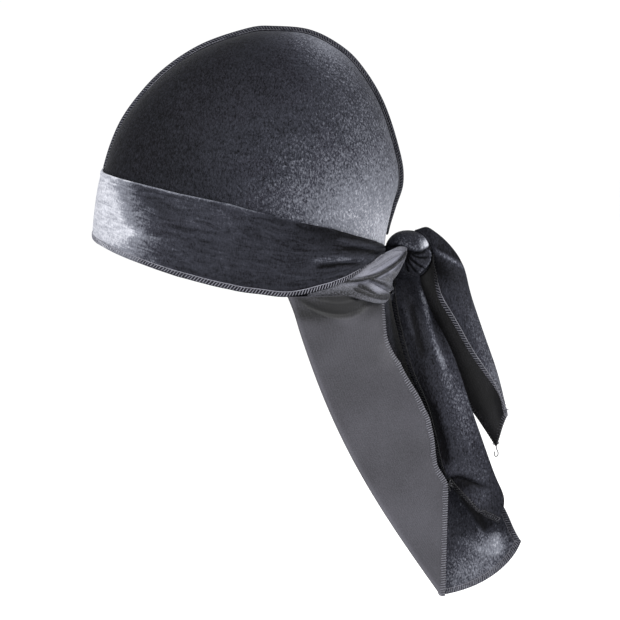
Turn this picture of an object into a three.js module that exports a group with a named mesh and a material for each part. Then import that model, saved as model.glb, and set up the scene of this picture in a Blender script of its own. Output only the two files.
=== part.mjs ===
// A durag in crushed velvet, in the form it takes when worn: a crown of two panels
// with an outward centre seam, a brow band, two ties knotted at the nape, two tie
// ends that sweep down and back, and a back flap with its near part folded over.
// Millimetres, +Z up. The brow faces -Y, the wearer's left is +X, and the origin is
// the centre of the head opening.

import * as THREE from 'three';

// Cloth
const clothWall = 1.5;
const clearance = 0.3;
const foldRadius = 2.2;

// Crown
const crownHalfLength = 100;
const crownHeight = 150;
const crownHalfWidth = 78;
const crownFullness = 2.45;
const rimTuck = 2.5;

// Centre seam
const seamStand = 3;
const seamThickness = 2.2;
const seamCrestShare = 0.7;
const seamFrontShare = 0.45;

// Brow band
const bandHeight = 54;
const bandEdgeDrop = 16;
const bandLoft = 0.8;
const bandPleatDepth = 1.6;
const bandPleatCount = 3;
const bandGatherTurn = 118;

// Ties
const tieDrop = 20;
const tieLift = 7;
const tiePleatDepth = 1.4;
const tiePleatCount = 2;

// Knot
const knotWidth = 35;
const knotDepth = 31;
const knotHeight = 32;
const knotFullness = 2.2;
const knotRise = 5;

// Tie ends
const upperTailLength = 150;
const upperTailSpread = 20;
const upperTailOut = 4;
const lowerTailLength = 190;
const lowerTailSpread = 16;
const lowerTailOut = 20;
const tailPleatDepth = 2;
const tailPleatCount = 1.5;
const tailTipPleatShare = 0.6;
const tailStartShare = 0.35;

// Back flap
const flapLength = 205;
const flapSweep = 100;
const flapHemOut = 30;
const flapFrontLength = 128;
const flapSwagDepth = 3.5;
const flapFarBow = 10;
const flapFoldBow = 12.5;
const flapHemBack = 57;
const flapHemLift = 8;
const flapHemCurl = 24;
const flapHemFarShare = 0.5;
const flapBulge = 9;
const flapBulgePlace = 0.66;
const flapBulgeWidth = 0.16;
const flapCornerRound = 5;

// Side outline of the crown, brow to nape: "back" is a share of the half length
// behind the origin, "up" a share of the height above it.
const crownProfile = [
  { back: -0.98, up: 0 },
  { back: -0.982, up: 0.1 },
  { back: -0.957, up: 0.235 },
  { back: -0.915, up: 0.415 },
  { back: -0.798, up: 0.613 },
  { back: -0.565, up: 0.799 },
  { back: -0.284, up: 0.929 },
  { back: 0.03, up: 1.002 },
  { back: 0.2, up: 1.011 },
  { back: 0.418, up: 0.997 },
  { back: 0.604, up: 0.937 },
  { back: 0.741, up: 0.853 },
  { back: 0.888, up: 0.695 },
  { back: 0.994, up: 0.482 },
  { back: 1.017, up: 0.358 },
  { back: 0.975, up: 0.245 },
  { back: 0.935, up: 0.12 },
  { back: 0.918, up: 0 },
];

// Brow band by turn in degrees from the brow: "edge" is the lower edge as a share of
// the edge drop, "height" the band's height as a share of its full height.
const bandSections = [
  { turn: 0, edge: 1.18, height: 0.79 },
  { turn: 26, edge: 0.85, height: 0.82 },
  { turn: 44, edge: 0.37, height: 0.88 },
  { turn: 62, edge: -0.16, height: 0.93 },
  { turn: 85, edge: -0.65, height: 0.96 },
  { turn: 99, edge: -0.84, height: 0.92 },
  { turn: 112, edge: -0.95, height: 0.86 },
  { turn: 130, edge: -0.63, height: 0.66 },
  { turn: 140, edge: -0.27, height: 0.47 },
  { turn: 153, edge: 0.28, height: 0.22 },
  { turn: 160, edge: 0.5, height: 0.11 },
];

// Tie by turn: "low" is the lower edge as a share of the tie drop, "lift" how far that
// edge stands off as a share of the tie lift, "reach" the share of the way to the knot.
const tieSections = [
  { turn: 120, low: -0.82, lift: 0.0, reach: 0 },
  { turn: 130, low: -0.79, lift: 0.1, reach: 0 },
  { turn: 137, low: -0.8, lift: 0.5, reach: 0 },
  { turn: 144, low: -0.92, lift: 1.0, reach: 0 },
  { turn: 151, low: -1.02, lift: 1.2, reach: 0 },
  { turn: 157, low: -0.98, lift: 1.3, reach: 0.02 },
  { turn: 160, low: -0.5, lift: 1.2, reach: 0.12 },
  { turn: 164, low: 0, lift: 0.9, reach: 0.55 },
  { turn: 168, low: 0.1, lift: 0.6, reach: 1 },
];

// Creases round the knot: the axis of each crease's plane, and how deep and wide it
// is as shares of the knot's radius.
const knotCreases = [
  { x: 0.1, y: -0.25, z: 1, offset: 0.3, depth: 0.11, width: 0.14 },
  { x: 0.5, y: 0.75, z: 0.45, offset: 0.1, depth: 0.07, width: 0.14 },
  { x: -0.5, y: 0.8, z: 0.3, offset: 0.15, depth: 0.07, width: 0.14 },
  { x: 0.2, y: 0.9, z: -0.5, offset: -0.35, depth: 0.07, width: 0.12 },
];

// Each tie end by section: how far its near free edge, its fold and its far free edge
// lie behind and below the knot's centre, as shares of the tie end's length.
const upperTailSections = [
  { edgeBack: 0.12, edgeDrop: 0.02, foldBack: 0.088, foldDrop: -0.122, farBack: 0.1, farDrop: 0.032 },
  { edgeBack: 0.12, edgeDrop: 0.106, foldBack: 0.17, foldDrop: -0.058, farBack: 0.06, farDrop: 0.13 },
  { edgeBack: 0.133, edgeDrop: 0.185, foldBack: 0.242, foldDrop: 0.038, farBack: 0.09, farDrop: 0.243 },
  { edgeBack: 0.191, edgeDrop: 0.282, foldBack: 0.279, foldDrop: 0.178, farBack: 0.14, farDrop: 0.378 },
  { edgeBack: 0.272, edgeDrop: 0.424, foldBack: 0.339, foldDrop: 0.357, farBack: 0.195, farDrop: 0.509 },
  { edgeBack: 0.348, edgeDrop: 0.531, foldBack: 0.394, foldDrop: 0.513, farBack: 0.245, farDrop: 0.631 },
  { edgeBack: 0.406, edgeDrop: 0.611, foldBack: 0.427, foldDrop: 0.639, farBack: 0.325, farDrop: 0.745 },
  { edgeBack: 0.424, edgeDrop: 0.682, foldBack: 0.443, foldDrop: 0.72, farBack: 0.405, farDrop: 0.868 },
];
const lowerTailSections = [
  { edgeBack: -0.061, edgeDrop: 0.1, foldBack: 0.044, foldDrop: 0.11, farBack: -0.033, farDrop: 0.11 },
  { edgeBack: -0.057, edgeDrop: 0.163, foldBack: 0.08, foldDrop: 0.202, farBack: -0.015, farDrop: 0.196 },
  { edgeBack: -0.036, edgeDrop: 0.266, foldBack: 0.136, foldDrop: 0.306, farBack: 0.024, farDrop: 0.301 },
  { edgeBack: 0.002, edgeDrop: 0.395, foldBack: 0.174, foldDrop: 0.4, farBack: 0.066, farDrop: 0.406 },
  { edgeBack: 0.048, edgeDrop: 0.499, foldBack: 0.208, foldDrop: 0.505, farBack: 0.109, farDrop: 0.512 },
  { edgeBack: 0.083, edgeDrop: 0.631, foldBack: 0.253, foldDrop: 0.632, farBack: 0.145, farDrop: 0.639 },
  { edgeBack: 0.104, edgeDrop: 0.723, foldBack: 0.3, foldDrop: 0.763, farBack: 0.181, farDrop: 0.753 },
  { edgeBack: 0.139, edgeDrop: 0.779, foldBack: 0.336, foldDrop: 0.851, farBack: 0.224, farDrop: 0.832 },
  { edgeBack: 0.241, edgeDrop: 0.881, foldBack: 0.315, foldDrop: 0.929, farBack: 0.281, farDrop: 0.921 },
];

// Free edge of the flap's folded part, top to corner: "drop" and "back" are shares of
// its length, "out" a share of the crown's half width.
const flapEdgeSections = [
  { drop: 0, back: 0, out: 0.49 },
  { drop: 0.15, back: 0.01, out: 0.53 },
  { drop: 0.25, back: 0.025, out: 0.54 },
  { drop: 0.36, back: 0.086, out: 0.54 },
  { drop: 0.6, back: 0.214, out: 0.53 },
  { drop: 0.73, back: 0.257, out: 0.5 },
  { drop: 0.89, back: 0.28, out: 0.46 },
  { drop: 1, back: 0.338, out: 0.44 },
];

// Swags of the folded part below its top edge: place and width as shares down the
// flap, depth as a share of the swag depth.
const flapSwags = [
  { place: 0.054, width: 0.024, depth: 0.8 },
  { place: 0.094, width: 0.03, depth: 1 },
];

const degrees = Math.PI / 180;
const mix = THREE.MathUtils.lerp;
const smooth = THREE.MathUtils.smoothstep;
const vector = (x, y, z) => new THREE.Vector3(x, y, z);

// Value of one column of a table at a place between its rows, on a smooth curve.
function column(rows, key, name, at) {
  const last = rows.length - 1;
  let i = 0;
  while (i < last - 1 && rows[i + 1][key] <= at) i += 1;
  const share = THREE.MathUtils.clamp((at - rows[i][key]) / (rows[i + 1][key] - rows[i][key]), 0, 1);
  const value = (k) => rows[THREE.MathUtils.clamp(k, 0, last)][name];
  const [a, b, c, d] = [value(i - 1), value(i), value(i + 1), value(i + 2)];
  const curve = (2 * b) + (c - a) * share + (2 * a - 5 * b + 4 * c - d) * share ** 2
    + (3 * b - a - 3 * c + d) * share ** 3;
  return curve / 2;
}

// The same for rows that are evenly spaced from 0 to 1.
function evenColumn(rows, name, share) {
  const indexed = rows.map((row, index) => ({ index, value: row[name] }));
  return column(indexed, 'index', 'value', share * (rows.length - 1));
}

// The crown's side outline as polar samples: the angle up from the brow and the reach.
const profileSteps = 160;
const profileCurve = new THREE.CatmullRomCurve3(
  crownProfile.map((row) => vector(0, row.back * crownHalfLength, row.up * crownHeight)),
);
const profileSamples = profileCurve.getPoints(profileSteps).map((point) => ({
  turn: Math.atan2(point.z, -point.y),
  reach: Math.hypot(point.y, point.z),
}));

function crownReach(y, z) {
  const front = profileSamples[0].reach;
  const rear = profileSamples[profileSteps].reach;
  if (z <= 0) return (front + rear) / 2 + ((rear - front) / 2) * (y / Math.max(Math.hypot(y, z), 1e-6));
  const turn = Math.atan2(z, -y);
  let low = 0;
  let high = profileSteps;
  while (high - low > 1) {
    const middle = (low + high) >> 1;
    if (profileSamples[middle].turn <= turn) low = middle;
    else high = middle;
  }
  const [a, b] = [profileSamples[low], profileSamples[high]];
  return mix(a.reach, b.reach, THREE.MathUtils.clamp((turn - a.turn) / (b.turn - a.turn), 0, 1));
}

// 1 on the crown's outer face, less inside it, and in proportion along any ray.
function crownLevel(p) {
  const side = Math.abs(p.x) / crownHalfWidth;
  const arch = Math.hypot(p.y, p.z) / crownReach(p.y, p.z);
  return (side ** crownFullness + arch ** crownFullness) ** (1 / crownFullness);
}

function crownNormal(p) {
  const step = 0.5;
  const slope = (axis) => crownLevel(p.clone().addScaledVector(axis, step))
    - crownLevel(p.clone().addScaledVector(axis, -step));
  return vector(slope(vector(1, 0, 0)), slope(vector(0, 1, 0)), slope(vector(0, 0, 1))).normalize();
}

// Point over the crown's outer face in a direction from the origin.
function onCrown(direction, out) {
  const point = direction.clone().multiplyScalar(1 / crownLevel(direction));
  return point.addScaledVector(crownNormal(point), out);
}

// The same at a turn from the brow and a height.
function crownAt(turn, rise, out) {
  const side = Math.sin(turn * degrees);
  const back = -Math.cos(turn * degrees);
  let low = -1.2;
  let high = 1.5;
  for (let i = 0; i < 40; i += 1) {
    const tilt = (low + high) / 2;
    const ray = vector(side * Math.cos(tilt), back * Math.cos(tilt), Math.sin(tilt));
    if (ray.z / crownLevel(ray) < rise) low = tilt;
    else high = tilt;
  }
  return onCrown(vector(side * Math.cos(low), back * Math.cos(low), Math.sin(low)), out);
}

// The band's lower and upper edges, and the crown's rim tucked up behind it.
const bandEndTurn = bandSections[bandSections.length - 1].turn;
const bandEdge = (turn) => bandEdgeDrop * column(bandSections, 'turn', 'edge', Math.abs(turn));
const bandTop = (turn) => bandEdge(turn) + bandHeight * column(bandSections, 'turn', 'height', Math.abs(turn));
const rimLevelTurn = 112;
const rimRise = (turn) => bandEdge(Math.min(Math.abs(turn), rimLevelTurn)) + rimTuck;

// A closed wall between two grids of points, outer and inner, [row][column].
function wallGeometry(outer, inner) {
  const rows = outer.length;
  const columns = outer[0].length;
  const positions = [];
  [outer, inner].forEach((grid) => grid.forEach((row) => row.forEach((p) => positions.push(p.x, p.y, p.z))));
  const index = [];
  const outerId = (i, j) => i * columns + j;
  const innerId = (i, j) => rows * columns + i * columns + j;
  const quad = (a, b, c, d) => index.push(a, b, c, a, c, d);
  for (let i = 0; i < rows - 1; i += 1) {
    for (let j = 0; j < columns - 1; j += 1) {
      quad(outerId(i, j), outerId(i + 1, j), outerId(i + 1, j + 1), outerId(i, j + 1));
      quad(innerId(i, j), innerId(i, j + 1), innerId(i + 1, j + 1), innerId(i + 1, j));
    }
  }
  for (let i = 0; i < rows - 1; i += 1) {
    quad(outerId(i, 0), innerId(i, 0), innerId(i + 1, 0), outerId(i + 1, 0));
    quad(outerId(i + 1, columns - 1), innerId(i + 1, columns - 1), innerId(i, columns - 1), outerId(i, columns - 1));
  }
  for (let j = 0; j < columns - 1; j += 1) {
    quad(outerId(0, j + 1), innerId(0, j + 1), innerId(0, j), outerId(0, j));
    quad(outerId(rows - 1, j), innerId(rows - 1, j), innerId(rows - 1, j + 1), outerId(rows - 1, j + 1));
  }
  return facingOut(closedGeometry(positions, index));
}

function closedGeometry(positions, index) {
  const geometry = new THREE.BufferGeometry();
  geometry.setAttribute('position', new THREE.Float32BufferAttribute(positions, 3));
  geometry.setIndex(index);
  return geometry;
}

// Turns the faces round where they enclose a negative volume.
function facingOut(geometry) {
  const at = (k) => vector().fromBufferAttribute(geometry.attributes.position, geometry.index.getX(k));
  let volume = 0;
  for (let k = 0; k < geometry.index.count; k += 3) volume += at(k).dot(at(k + 1).cross(at(k + 2)));
  if (volume < 0) {
    const index = Array.from(geometry.index.array);
    for (let k = 0; k < index.length; k += 3) [index[k], index[k + 1]] = [index[k + 1], index[k]];
    geometry.setIndex(index);
  }
  geometry.computeVertexNormals();
  return geometry;
}

function mirrored(geometry) {
  return facingOut(geometry.clone().scale(-1, 1, 1));
}

function grid(rows, columns, place) {
  return Array.from({ length: rows + 1 }, (_, i) => (
    Array.from({ length: columns + 1 }, (__, j) => place(i / rows, j / columns))
  ));
}

// Inner and outer faces of a cloth wall about its middle surface, and its geometry.
function clothGeometry(rows, columns, middle, seat = (point) => point) {
  const points = grid(rows, columns, middle);
  const normal = (i, j) => {
    const down = points[Math.min(i + 1, rows)][j].clone().sub(points[Math.max(i - 1, 0)][j]);
    const across = points[i][Math.min(j + 1, columns)].clone().sub(points[i][Math.max(j - 1, 0)]);
    return down.cross(across).normalize();
  };
  const face = (side) => points.map((row, i) => row.map((point, j) => (
    seat(point.clone().addScaledVector(normal(i, j), (side * clothWall) / 2), i / rows)
  )));
  return wallGeometry(face(1), face(-1));
}

// Crown: each section runs from the centre seam down to the rim.
const panelRows = 30;
const panelColumns = 11;
const rimCornerTurn = 10;

// Angle of a point on the middle line, up from the brow and over to the nape.
function archTurn(point) {
  const turn = Math.atan2(point.z, -point.y);
  return turn < -Math.PI / 2 ? turn + 2 * Math.PI : turn;
}

function panelPoint(along, down, out) {
  const turn = mix(archTurn(crownAt(0, rimRise(0), 0)), archTurn(crownAt(180, rimRise(180), 0)), along);
  const seam = vector(0, -Math.cos(turn), Math.sin(turn));
  const rimTurn = mix(rimCornerTurn, 180 - rimCornerTurn, along);
  const rim = crownAt(rimTurn, rimRise(rimTurn), 0).normalize();
  const spread = seam.angleTo(rim);
  const ray = seam.multiplyScalar(Math.sin((1 - down) * spread)).addScaledVector(rim, Math.sin(down * spread));
  const point = onCrown(ray, out);
  point.x += (clearance / 2) * (1 - down);
  return point;
}

function crownPanelGeometry() {
  const outer = grid(panelRows, panelColumns, (along, down) => panelPoint(along, down, 0));
  const inner = grid(panelRows, panelColumns, (along, down) => panelPoint(along, down, -clothWall));
  return wallGeometry(outer, inner);
}

// Brow band
const bandRows = 56;
const bandColumns = 6;

function bandPoint(along, up, out) {
  const turn = mix(-bandEndTurn, bandEndTurn, along);
  const gather = smooth(Math.abs(turn), bandGatherTurn, bandEndTurn) * bandPleatDepth;
  const pleat = gather * (0.5 - 0.5 * Math.cos(up * bandPleatCount * 2 * Math.PI));
  const loft = bandLoft * Math.sin(up * Math.PI) + pleat;
  return crownAt(turn, mix(bandEdge(turn), bandTop(turn), up), clearance + loft + out);
}

function browBandGeometry() {
  const outer = grid(bandRows, bandColumns, (along, up) => bandPoint(along, up, clothWall));
  const inner = grid(bandRows, bandColumns, (along, up) => bandPoint(along, up, 0));
  return wallGeometry(outer, inner);
}

// Knot: a creased round body, measured from its centre.
const knotCentre = vector(
  0,
  crownAt(180, knotRise, clearance).y + knotDepth / 2 + clearance,
  knotRise,
);

function knotReach(direction) {
  const d = direction.clone().normalize();
  const round = (Math.abs(d.x) / (knotWidth / 2)) ** knotFullness
    + (Math.abs(d.y) / (knotDepth / 2)) ** knotFullness
    + (Math.abs(d.z) / (knotHeight / 2)) ** knotFullness;
  const creased = knotCreases.reduce((size, crease) => {
    const across = vector(crease.x, crease.y, crease.z).normalize().dot(d) - crease.offset;
    return size * (1 - crease.depth * Math.exp(-((across / crease.width) ** 2)));
  }, 1);
  return creased * round ** (-1 / knotFullness);
}

function knotPoint(x, y, z, out) {
  const direction = vector(x, y, z).normalize();
  return knotCentre.clone().addScaledVector(direction, knotReach(direction) + out);
}

// Places on the ray from the knot's centre through a point: just outside the knot, and
// out to a given distance where the point lies closer. Both clear the mirrored knot too,
// because the right tie mirrors the left one.
function offKnot(ray, distance) {
  const reach = Math.max(knotReach(ray), knotReach(vector(-ray.x, ray.y, ray.z)));
  return knotCentre.clone().addScaledVector(ray.clone().normalize(), reach + distance);
}

const seatOnKnot = (point) => offKnot(point.clone().sub(knotCentre), 2 * clearance);

function keepOffKnot(point, distance) {
  const ray = point.clone().sub(knotCentre);
  const free = offKnot(ray, distance);
  return free.distanceTo(knotCentre) > ray.length() ? free : point;
}

const knotRings = 14;
const knotSides = 22;

function knotGeometry() {
  const positions = [];
  const index = [];
  const push = (point) => positions.push(point.x, point.y, point.z);
  push(knotPoint(0, -1, 0, 0));
  for (let ring = 1; ring < knotRings; ring += 1) {
    const tilt = (Math.PI * ring) / knotRings;
    for (let side = 0; side < knotSides; side += 1) {
      const turn = (2 * Math.PI * side) / knotSides;
      push(knotPoint(Math.sin(tilt) * Math.cos(turn), -Math.cos(tilt), Math.sin(tilt) * Math.sin(turn), 0));
    }
  }
  push(knotPoint(0, 1, 0, 0));
  const id = (ring, side) => 1 + (ring - 1) * knotSides + (side % knotSides);
  const end = 1 + (knotRings - 1) * knotSides;
  for (let side = 0; side < knotSides; side += 1) {
    index.push(0, id(1, side), id(1, side + 1));
    index.push(end, id(knotRings - 1, side + 1), id(knotRings - 1, side));
    for (let ring = 1; ring < knotRings - 1; ring += 1) {
      index.push(id(ring, side), id(ring + 1, side), id(ring + 1, side + 1));
      index.push(id(ring, side), id(ring + 1, side + 1), id(ring, side + 1));
    }
  }
  return facingOut(closedGeometry(positions, index));
}

// Centre seam: a fin over both panels from the band's top edge to the knot.
const seamRows = 44;

function centreSeamGeometry() {
  const frontTurn = archTurn(crownAt(0, bandTop(0) + 2 * clearance, 0));
  const rearTurn = archTurn(crownAt(180, knotCentre.z + knotHeight / 2 + 2 * clearance, 0));
  const side = (sign) => grid(seamRows, 1, (along, up) => {
    const turn = mix(frontTurn, rearTurn, along);
    const stand = seamStand * mix(seamFrontShare, 1, smooth(along, 0.02, 0.3));
    const point = onCrown(vector(0, -Math.cos(turn), Math.sin(turn)), clearance + up * stand);
    point.x = sign * (seamThickness / 2) * mix(1, seamCrestShare, up);
    return point;
  });
  return wallGeometry(side(1), side(-1));
}

// Ties: from below the band's gathered end to the knot, wrong side out. Each ends
// between two directions from the knot's centre, at its top and its lower edge.
const tieRows = 20;
const tieColumns = 7;
const tieTopSeat = vector(0.95, -0.3, 0.42);
const tieLowSeat = vector(0.95, -0.42, -0.02);

function tiePoint(along, down) {
  const turn = mix(tieSections[0].turn, tieSections[tieSections.length - 1].turn, along);
  const top = bandEdge(Math.min(turn, bandEndTurn)) - clearance * 3;
  const low = tieDrop * column(tieSections, 'turn', 'low', turn);
  const lift = tieLift * column(tieSections, 'turn', 'lift', turn) * down;
  const pleat = 0.5 - 0.5 * Math.cos(down * tiePleatCount * 2 * Math.PI);
  const crease = tiePleatDepth * smooth(along, 0.25, 0.6) * pleat;
  const onHead = crownAt(turn, mix(top, low, down), clearance + clothWall / 2 + lift + crease);
  const seat = tieTopSeat.clone().lerp(tieLowSeat, down);
  const atKnot = knotPoint(seat.x, seat.y, seat.z, clearance + clothWall / 2);
  const middle = onHead.lerp(atKnot, column(tieSections, 'turn', 'reach', turn));
  return keepOffKnot(middle, clothWall + clearance * 3);
}

const tieGeometry = () => clothGeometry(
  tieRows,
  tieColumns,
  tiePoint,
  (point, along) => (along === 1 ? seatOnKnot(point) : keepOffKnot(point, clearance)),
);

// Tie ends: a strip folded lengthwise, from the knot to its free end.
const tailRows = 21;
const tailColumns = 11;

// Place on a folded strip: 0 is the near free edge, the fold lies at "foldShare" and
// 1 is the far free edge. "seats" are the directions in which its lines leave the knot.
function tailSurface({ sections, length, spread, out, foldShare, seats }) {
  const firstShare = 1 / (sections.length + 1);
  const line = (part, side, along) => {
    const share = Math.max(0, (along - firstShare) / (1 - firstShare));
    const opened = spread * mix(tailStartShare, 1, smooth(along, 0, 0.45));
    const free = vector(
      out * smooth(along, 0, 0.4) + side * opened,
      knotCentre.y + length * evenColumn(sections, `${part}Back`, share),
      knotCentre.z - length * evenColumn(sections, `${part}Drop`, share),
    );
    return knotPoint(...seats[part], clearance).lerp(free, Math.min(1, along / firstShare));
  };
  return (along, across) => {
    const near = across < foldShare;
    const from = near ? line('edge', 0.5, along) : line('fold', 0, along);
    const to = near ? line('fold', 0, along) : line('far', -0.5, along);
    const share = near ? across / foldShare : (across - foldShare) / (1 - foldShare);
    const bend = near ? 1 - Math.cos((share * Math.PI) / 2) : Math.sin((share * Math.PI) / 2);
    const place = from.clone().lerp(to, share);
    const wave = Math.sin(across * tailPleatCount * 2 * Math.PI) * smooth(along, 0.05, 0.3);
    place.x = mix(from.x, to.x, bend) + tailPleatDepth * wave * mix(1, tailTipPleatShare, along);
    return keepOffKnot(place, clothWall / 2 + clearance * 3);
  };
}

const upperTail = {
  sections: upperTailSections,
  length: upperTailLength,
  spread: upperTailSpread,
  out: upperTailOut,
  foldShare: 0.4,
  seats: { edge: [0.45, 0.85, 0.35], fold: [0.05, 0.5, 1], far: [-0.5, 0.75, 0.45] },
};
const lowerTail = {
  sections: lowerTailSections,
  length: lowerTailLength,
  spread: lowerTailSpread,
  out: lowerTailOut,
  foldShare: 0.62,
  seats: { edge: [0.4, -0.55, -0.75], fold: [0.3, 0.6, -0.75], far: [-0.45, 0.1, -0.85] },
};

function tailGeometry(tail) {
  const seat = (point, along) => (along === 0 ? seatOnKnot(point) : keepOffKnot(point, 2 * clearance));
  return clothGeometry(tailRows, tailColumns, tailSurface(tail), seat);
}

// Back flap: sewn below the rim round the nape, swept down and back. Across, 0 is the
// free edge of the folded near part, then the fold, and 1 is the far edge.
const flapRows = 24;
const flapColumns = 24;
const flapFrontShare = 0.36;
const flapTurnShare = 0.46;
const flapStartTurn = 113;
const flapEdgeTurn = 161;
const flapStepShare = 0.12;
const flapTopDrop = 2 * clearance - rimRise(180);
const flapFrontTop = bandEdgeDrop + 4 * clearance;

// The fold line, from below the ear to the hem's near corner.
function flapFold(down) {
  const top = crownAt(flapStartTurn, -flapFrontTop, foldRadius - clothWall / 2);
  const bow = flapFoldBow * Math.sin(down * Math.PI);
  return vector(
    mix(top.x, flapHemOut, down ** 0.9),
    top.y + flapSweep * down - bow,
    mix(-flapTopDrop, -flapTopDrop - flapLength, down),
  );
}

// The hem, from the near corner back and up to the far corner.
function flapHem(across) {
  const corner = flapFold(1);
  return vector(
    flapHemOut * mix(1, flapHemFarShare, across) - foldRadius,
    corner.y + flapHemBack * across,
    corner.z + flapHemLift * across + flapHemCurl * across ** 2.5,
  );
}

function flapFront(down, across) {
  const top = crownAt(mix(flapEdgeTurn, flapStartTurn, across), -flapFrontTop, 2 * foldRadius - clothWall / 2);
  const edgeTop = crownAt(flapEdgeTurn, -flapFrontTop, 2 * foldRadius - clothWall / 2);
  const edge = vector(
    crownHalfWidth * column(flapEdgeSections, 'drop', 'out', down),
    edgeTop.y + flapFrontLength * column(flapEdgeSections, 'drop', 'back', down),
    -flapFrontTop - flapFrontLength * down,
  );
  const fold = flapFold(down);
  fold.x += foldRadius;
  const ruled = edge.clone().lerp(fold, across);
  const topFold = flapFold(0);
  topFold.x += foldRadius;
  const start = vector(crownHalfWidth * flapEdgeSections[0].out, edgeTop.y, -flapFrontTop).lerp(topFold, across);
  ruled.addScaledVector(top.sub(start), (1 - down) ** 3);
  const swag = flapSwags.reduce((sum, row) => {
    const place = row.place * (1 + 0.8 * Math.sin(across * Math.PI)) - 0.02;
    return sum + row.depth * Math.exp(-(((down - place) / row.width) ** 2));
  }, 0);
  ruled.x += flapSwagDepth * swag * Math.sin(across * Math.PI);
  return ruled;
}

function flapBack(down, across) {
  const ruled = (share) => crownAt(
    mix(flapStartTurn, 360 - flapStartTurn, share),
    -mix(flapFrontTop, flapTopDrop, smooth(share, 0, flapStepShare)),
    -clothWall / 2,
  ).lerp(flapHem(share), down);
  const place = ruled(across);
  const fold = flapFold(down);
  fold.x -= foldRadius;
  place.addScaledVector(fold.sub(ruled(0)), (1 - across) ** 2 * smooth(down, 0, flapStepShare));
  const far = flapFarBow * Math.sin(down * Math.PI) * across * smooth(down, 0, 0.6);
  const bulge = Math.exp(-(((across - flapBulgePlace) / flapBulgeWidth) ** 2));
  const full = flapBulge * bulge * smooth(down, 0, 0.08) * (1 - smooth(down, 0.15, 0.7));
  const corner = flapCornerRound * across ** 6 * smooth(down, 0.86, 1);
  place.y += far + full - corner;
  return place;
}

function flapPoint(down, across) {
  if (across <= flapFrontShare) return flapFront(down, across / flapFrontShare);
  if (across >= flapTurnShare) return flapBack(down, (across - flapTurnShare) / (1 - flapTurnShare));
  const turn = (Math.PI * (across - flapFrontShare)) / (flapTurnShare - flapFrontShare);
  const front = flapFront(down, 1);
  const back = flapBack(down, 0);
  const middle = front.clone().lerp(back, (1 - Math.cos(turn)) / 2);
  middle.y -= foldRadius * Math.sin(turn);
  return middle;
}

// The rows lie closer together near the rim, where the swags are.
const backFlapGeometry = () => clothGeometry(
  flapRows,
  flapColumns,
  (along, across) => flapPoint(along * mix(0.5, 1, along), across),
);

// Cloth finishes
const velvet = { color: 0x2e2e34, roughness: 0.85, metalness: 0 };
const wrongSide = { color: 0x5c5c63, roughness: 0.7, metalness: 0 };

function piece(name, geometry, finish) {
  const mesh = new THREE.Mesh(geometry, new THREE.MeshStandardMaterial(finish));
  mesh.name = name;
  return mesh;
}

const durag = new THREE.Group();
const leftPanel = crownPanelGeometry();
const leftTie = tieGeometry();
durag.add(
  piece('crown_panel_left', leftPanel, velvet),
  piece('crown_panel_right', mirrored(leftPanel), velvet),
  piece('centre_seam', centreSeamGeometry(), velvet),
  piece('brow_band', browBandGeometry(), velvet),
  piece('left_tie', leftTie, wrongSide),
  piece('right_tie', mirrored(leftTie), wrongSide),
  piece('knot', knotGeometry(), velvet),
  piece('upper_tail', tailGeometry(upperTail), velvet),
  piece('lower_tail', tailGeometry(lowerTail), velvet),
  piece('back_flap', backFlapGeometry(), wrongSide),
);

export default durag;
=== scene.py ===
"""Looks of a durag in crushed velvet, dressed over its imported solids.

Every cloth piece is made again from the form that its solid has, with its folds, pleats,
pile, overlocked edges and seams. Lengths are in millimetres until a mesh is made.
"""
import logging
import math
from collections.abc import Iterable
from dataclasses import dataclass, field
from enum import Enum

import bpy
import numpy as np
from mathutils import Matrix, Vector

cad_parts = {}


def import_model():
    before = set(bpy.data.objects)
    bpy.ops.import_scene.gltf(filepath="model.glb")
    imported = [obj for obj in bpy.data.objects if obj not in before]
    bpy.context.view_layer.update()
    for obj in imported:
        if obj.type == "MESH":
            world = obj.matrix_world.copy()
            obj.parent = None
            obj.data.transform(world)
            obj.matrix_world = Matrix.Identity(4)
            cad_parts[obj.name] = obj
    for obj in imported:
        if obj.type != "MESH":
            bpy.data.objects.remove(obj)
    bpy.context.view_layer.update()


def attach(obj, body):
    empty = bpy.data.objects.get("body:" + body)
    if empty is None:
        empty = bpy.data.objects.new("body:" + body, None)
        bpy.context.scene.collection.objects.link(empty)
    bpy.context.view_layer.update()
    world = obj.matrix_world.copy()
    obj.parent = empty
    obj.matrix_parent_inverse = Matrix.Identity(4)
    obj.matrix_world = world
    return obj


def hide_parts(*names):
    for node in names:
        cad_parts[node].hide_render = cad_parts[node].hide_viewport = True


log = logging.getLogger("durag")
MM = 0.001
BODY = "root"
EDGE_ROUND = 0.45  # How far a round cloth edge stands out, as a share of the wall.
Numbers = float | np.ndarray
Pairs = tuple[tuple[float, float], ...]


class Side(Enum):
    """Side of the wearer that a mirrored piece is on."""

    LEFT = 1.0
    RIGHT = -1.0


def mix(a: Numbers, b: Numbers, share: Numbers) -> Numbers:
    """Value that lies at a share of the way from a to b."""
    return a + (b - a) * share


def smooth(value: Numbers, low: float, high: float) -> np.ndarray:
    """Smooth step from 0 at low to 1 at high."""
    share = np.clip((np.asarray(value, float) - low) / (high - low), 0.0, 1.0)
    return share * share * (3.0 - 2.0 * share)


def unit(vectors: np.ndarray) -> np.ndarray:
    """Vectors along the last axis, brought to length 1."""
    return vectors / np.maximum(np.linalg.norm(vectors, axis=-1, keepdims=True), 1e-9)


def points(x: Numbers, y: Numbers, z: Numbers) -> np.ndarray:
    """Points from their three coordinates, which may be numbers or arrays."""
    return np.stack(np.broadcast_arrays(*(np.asarray(v, float) for v in (x, y, z))), axis=-1)


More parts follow.
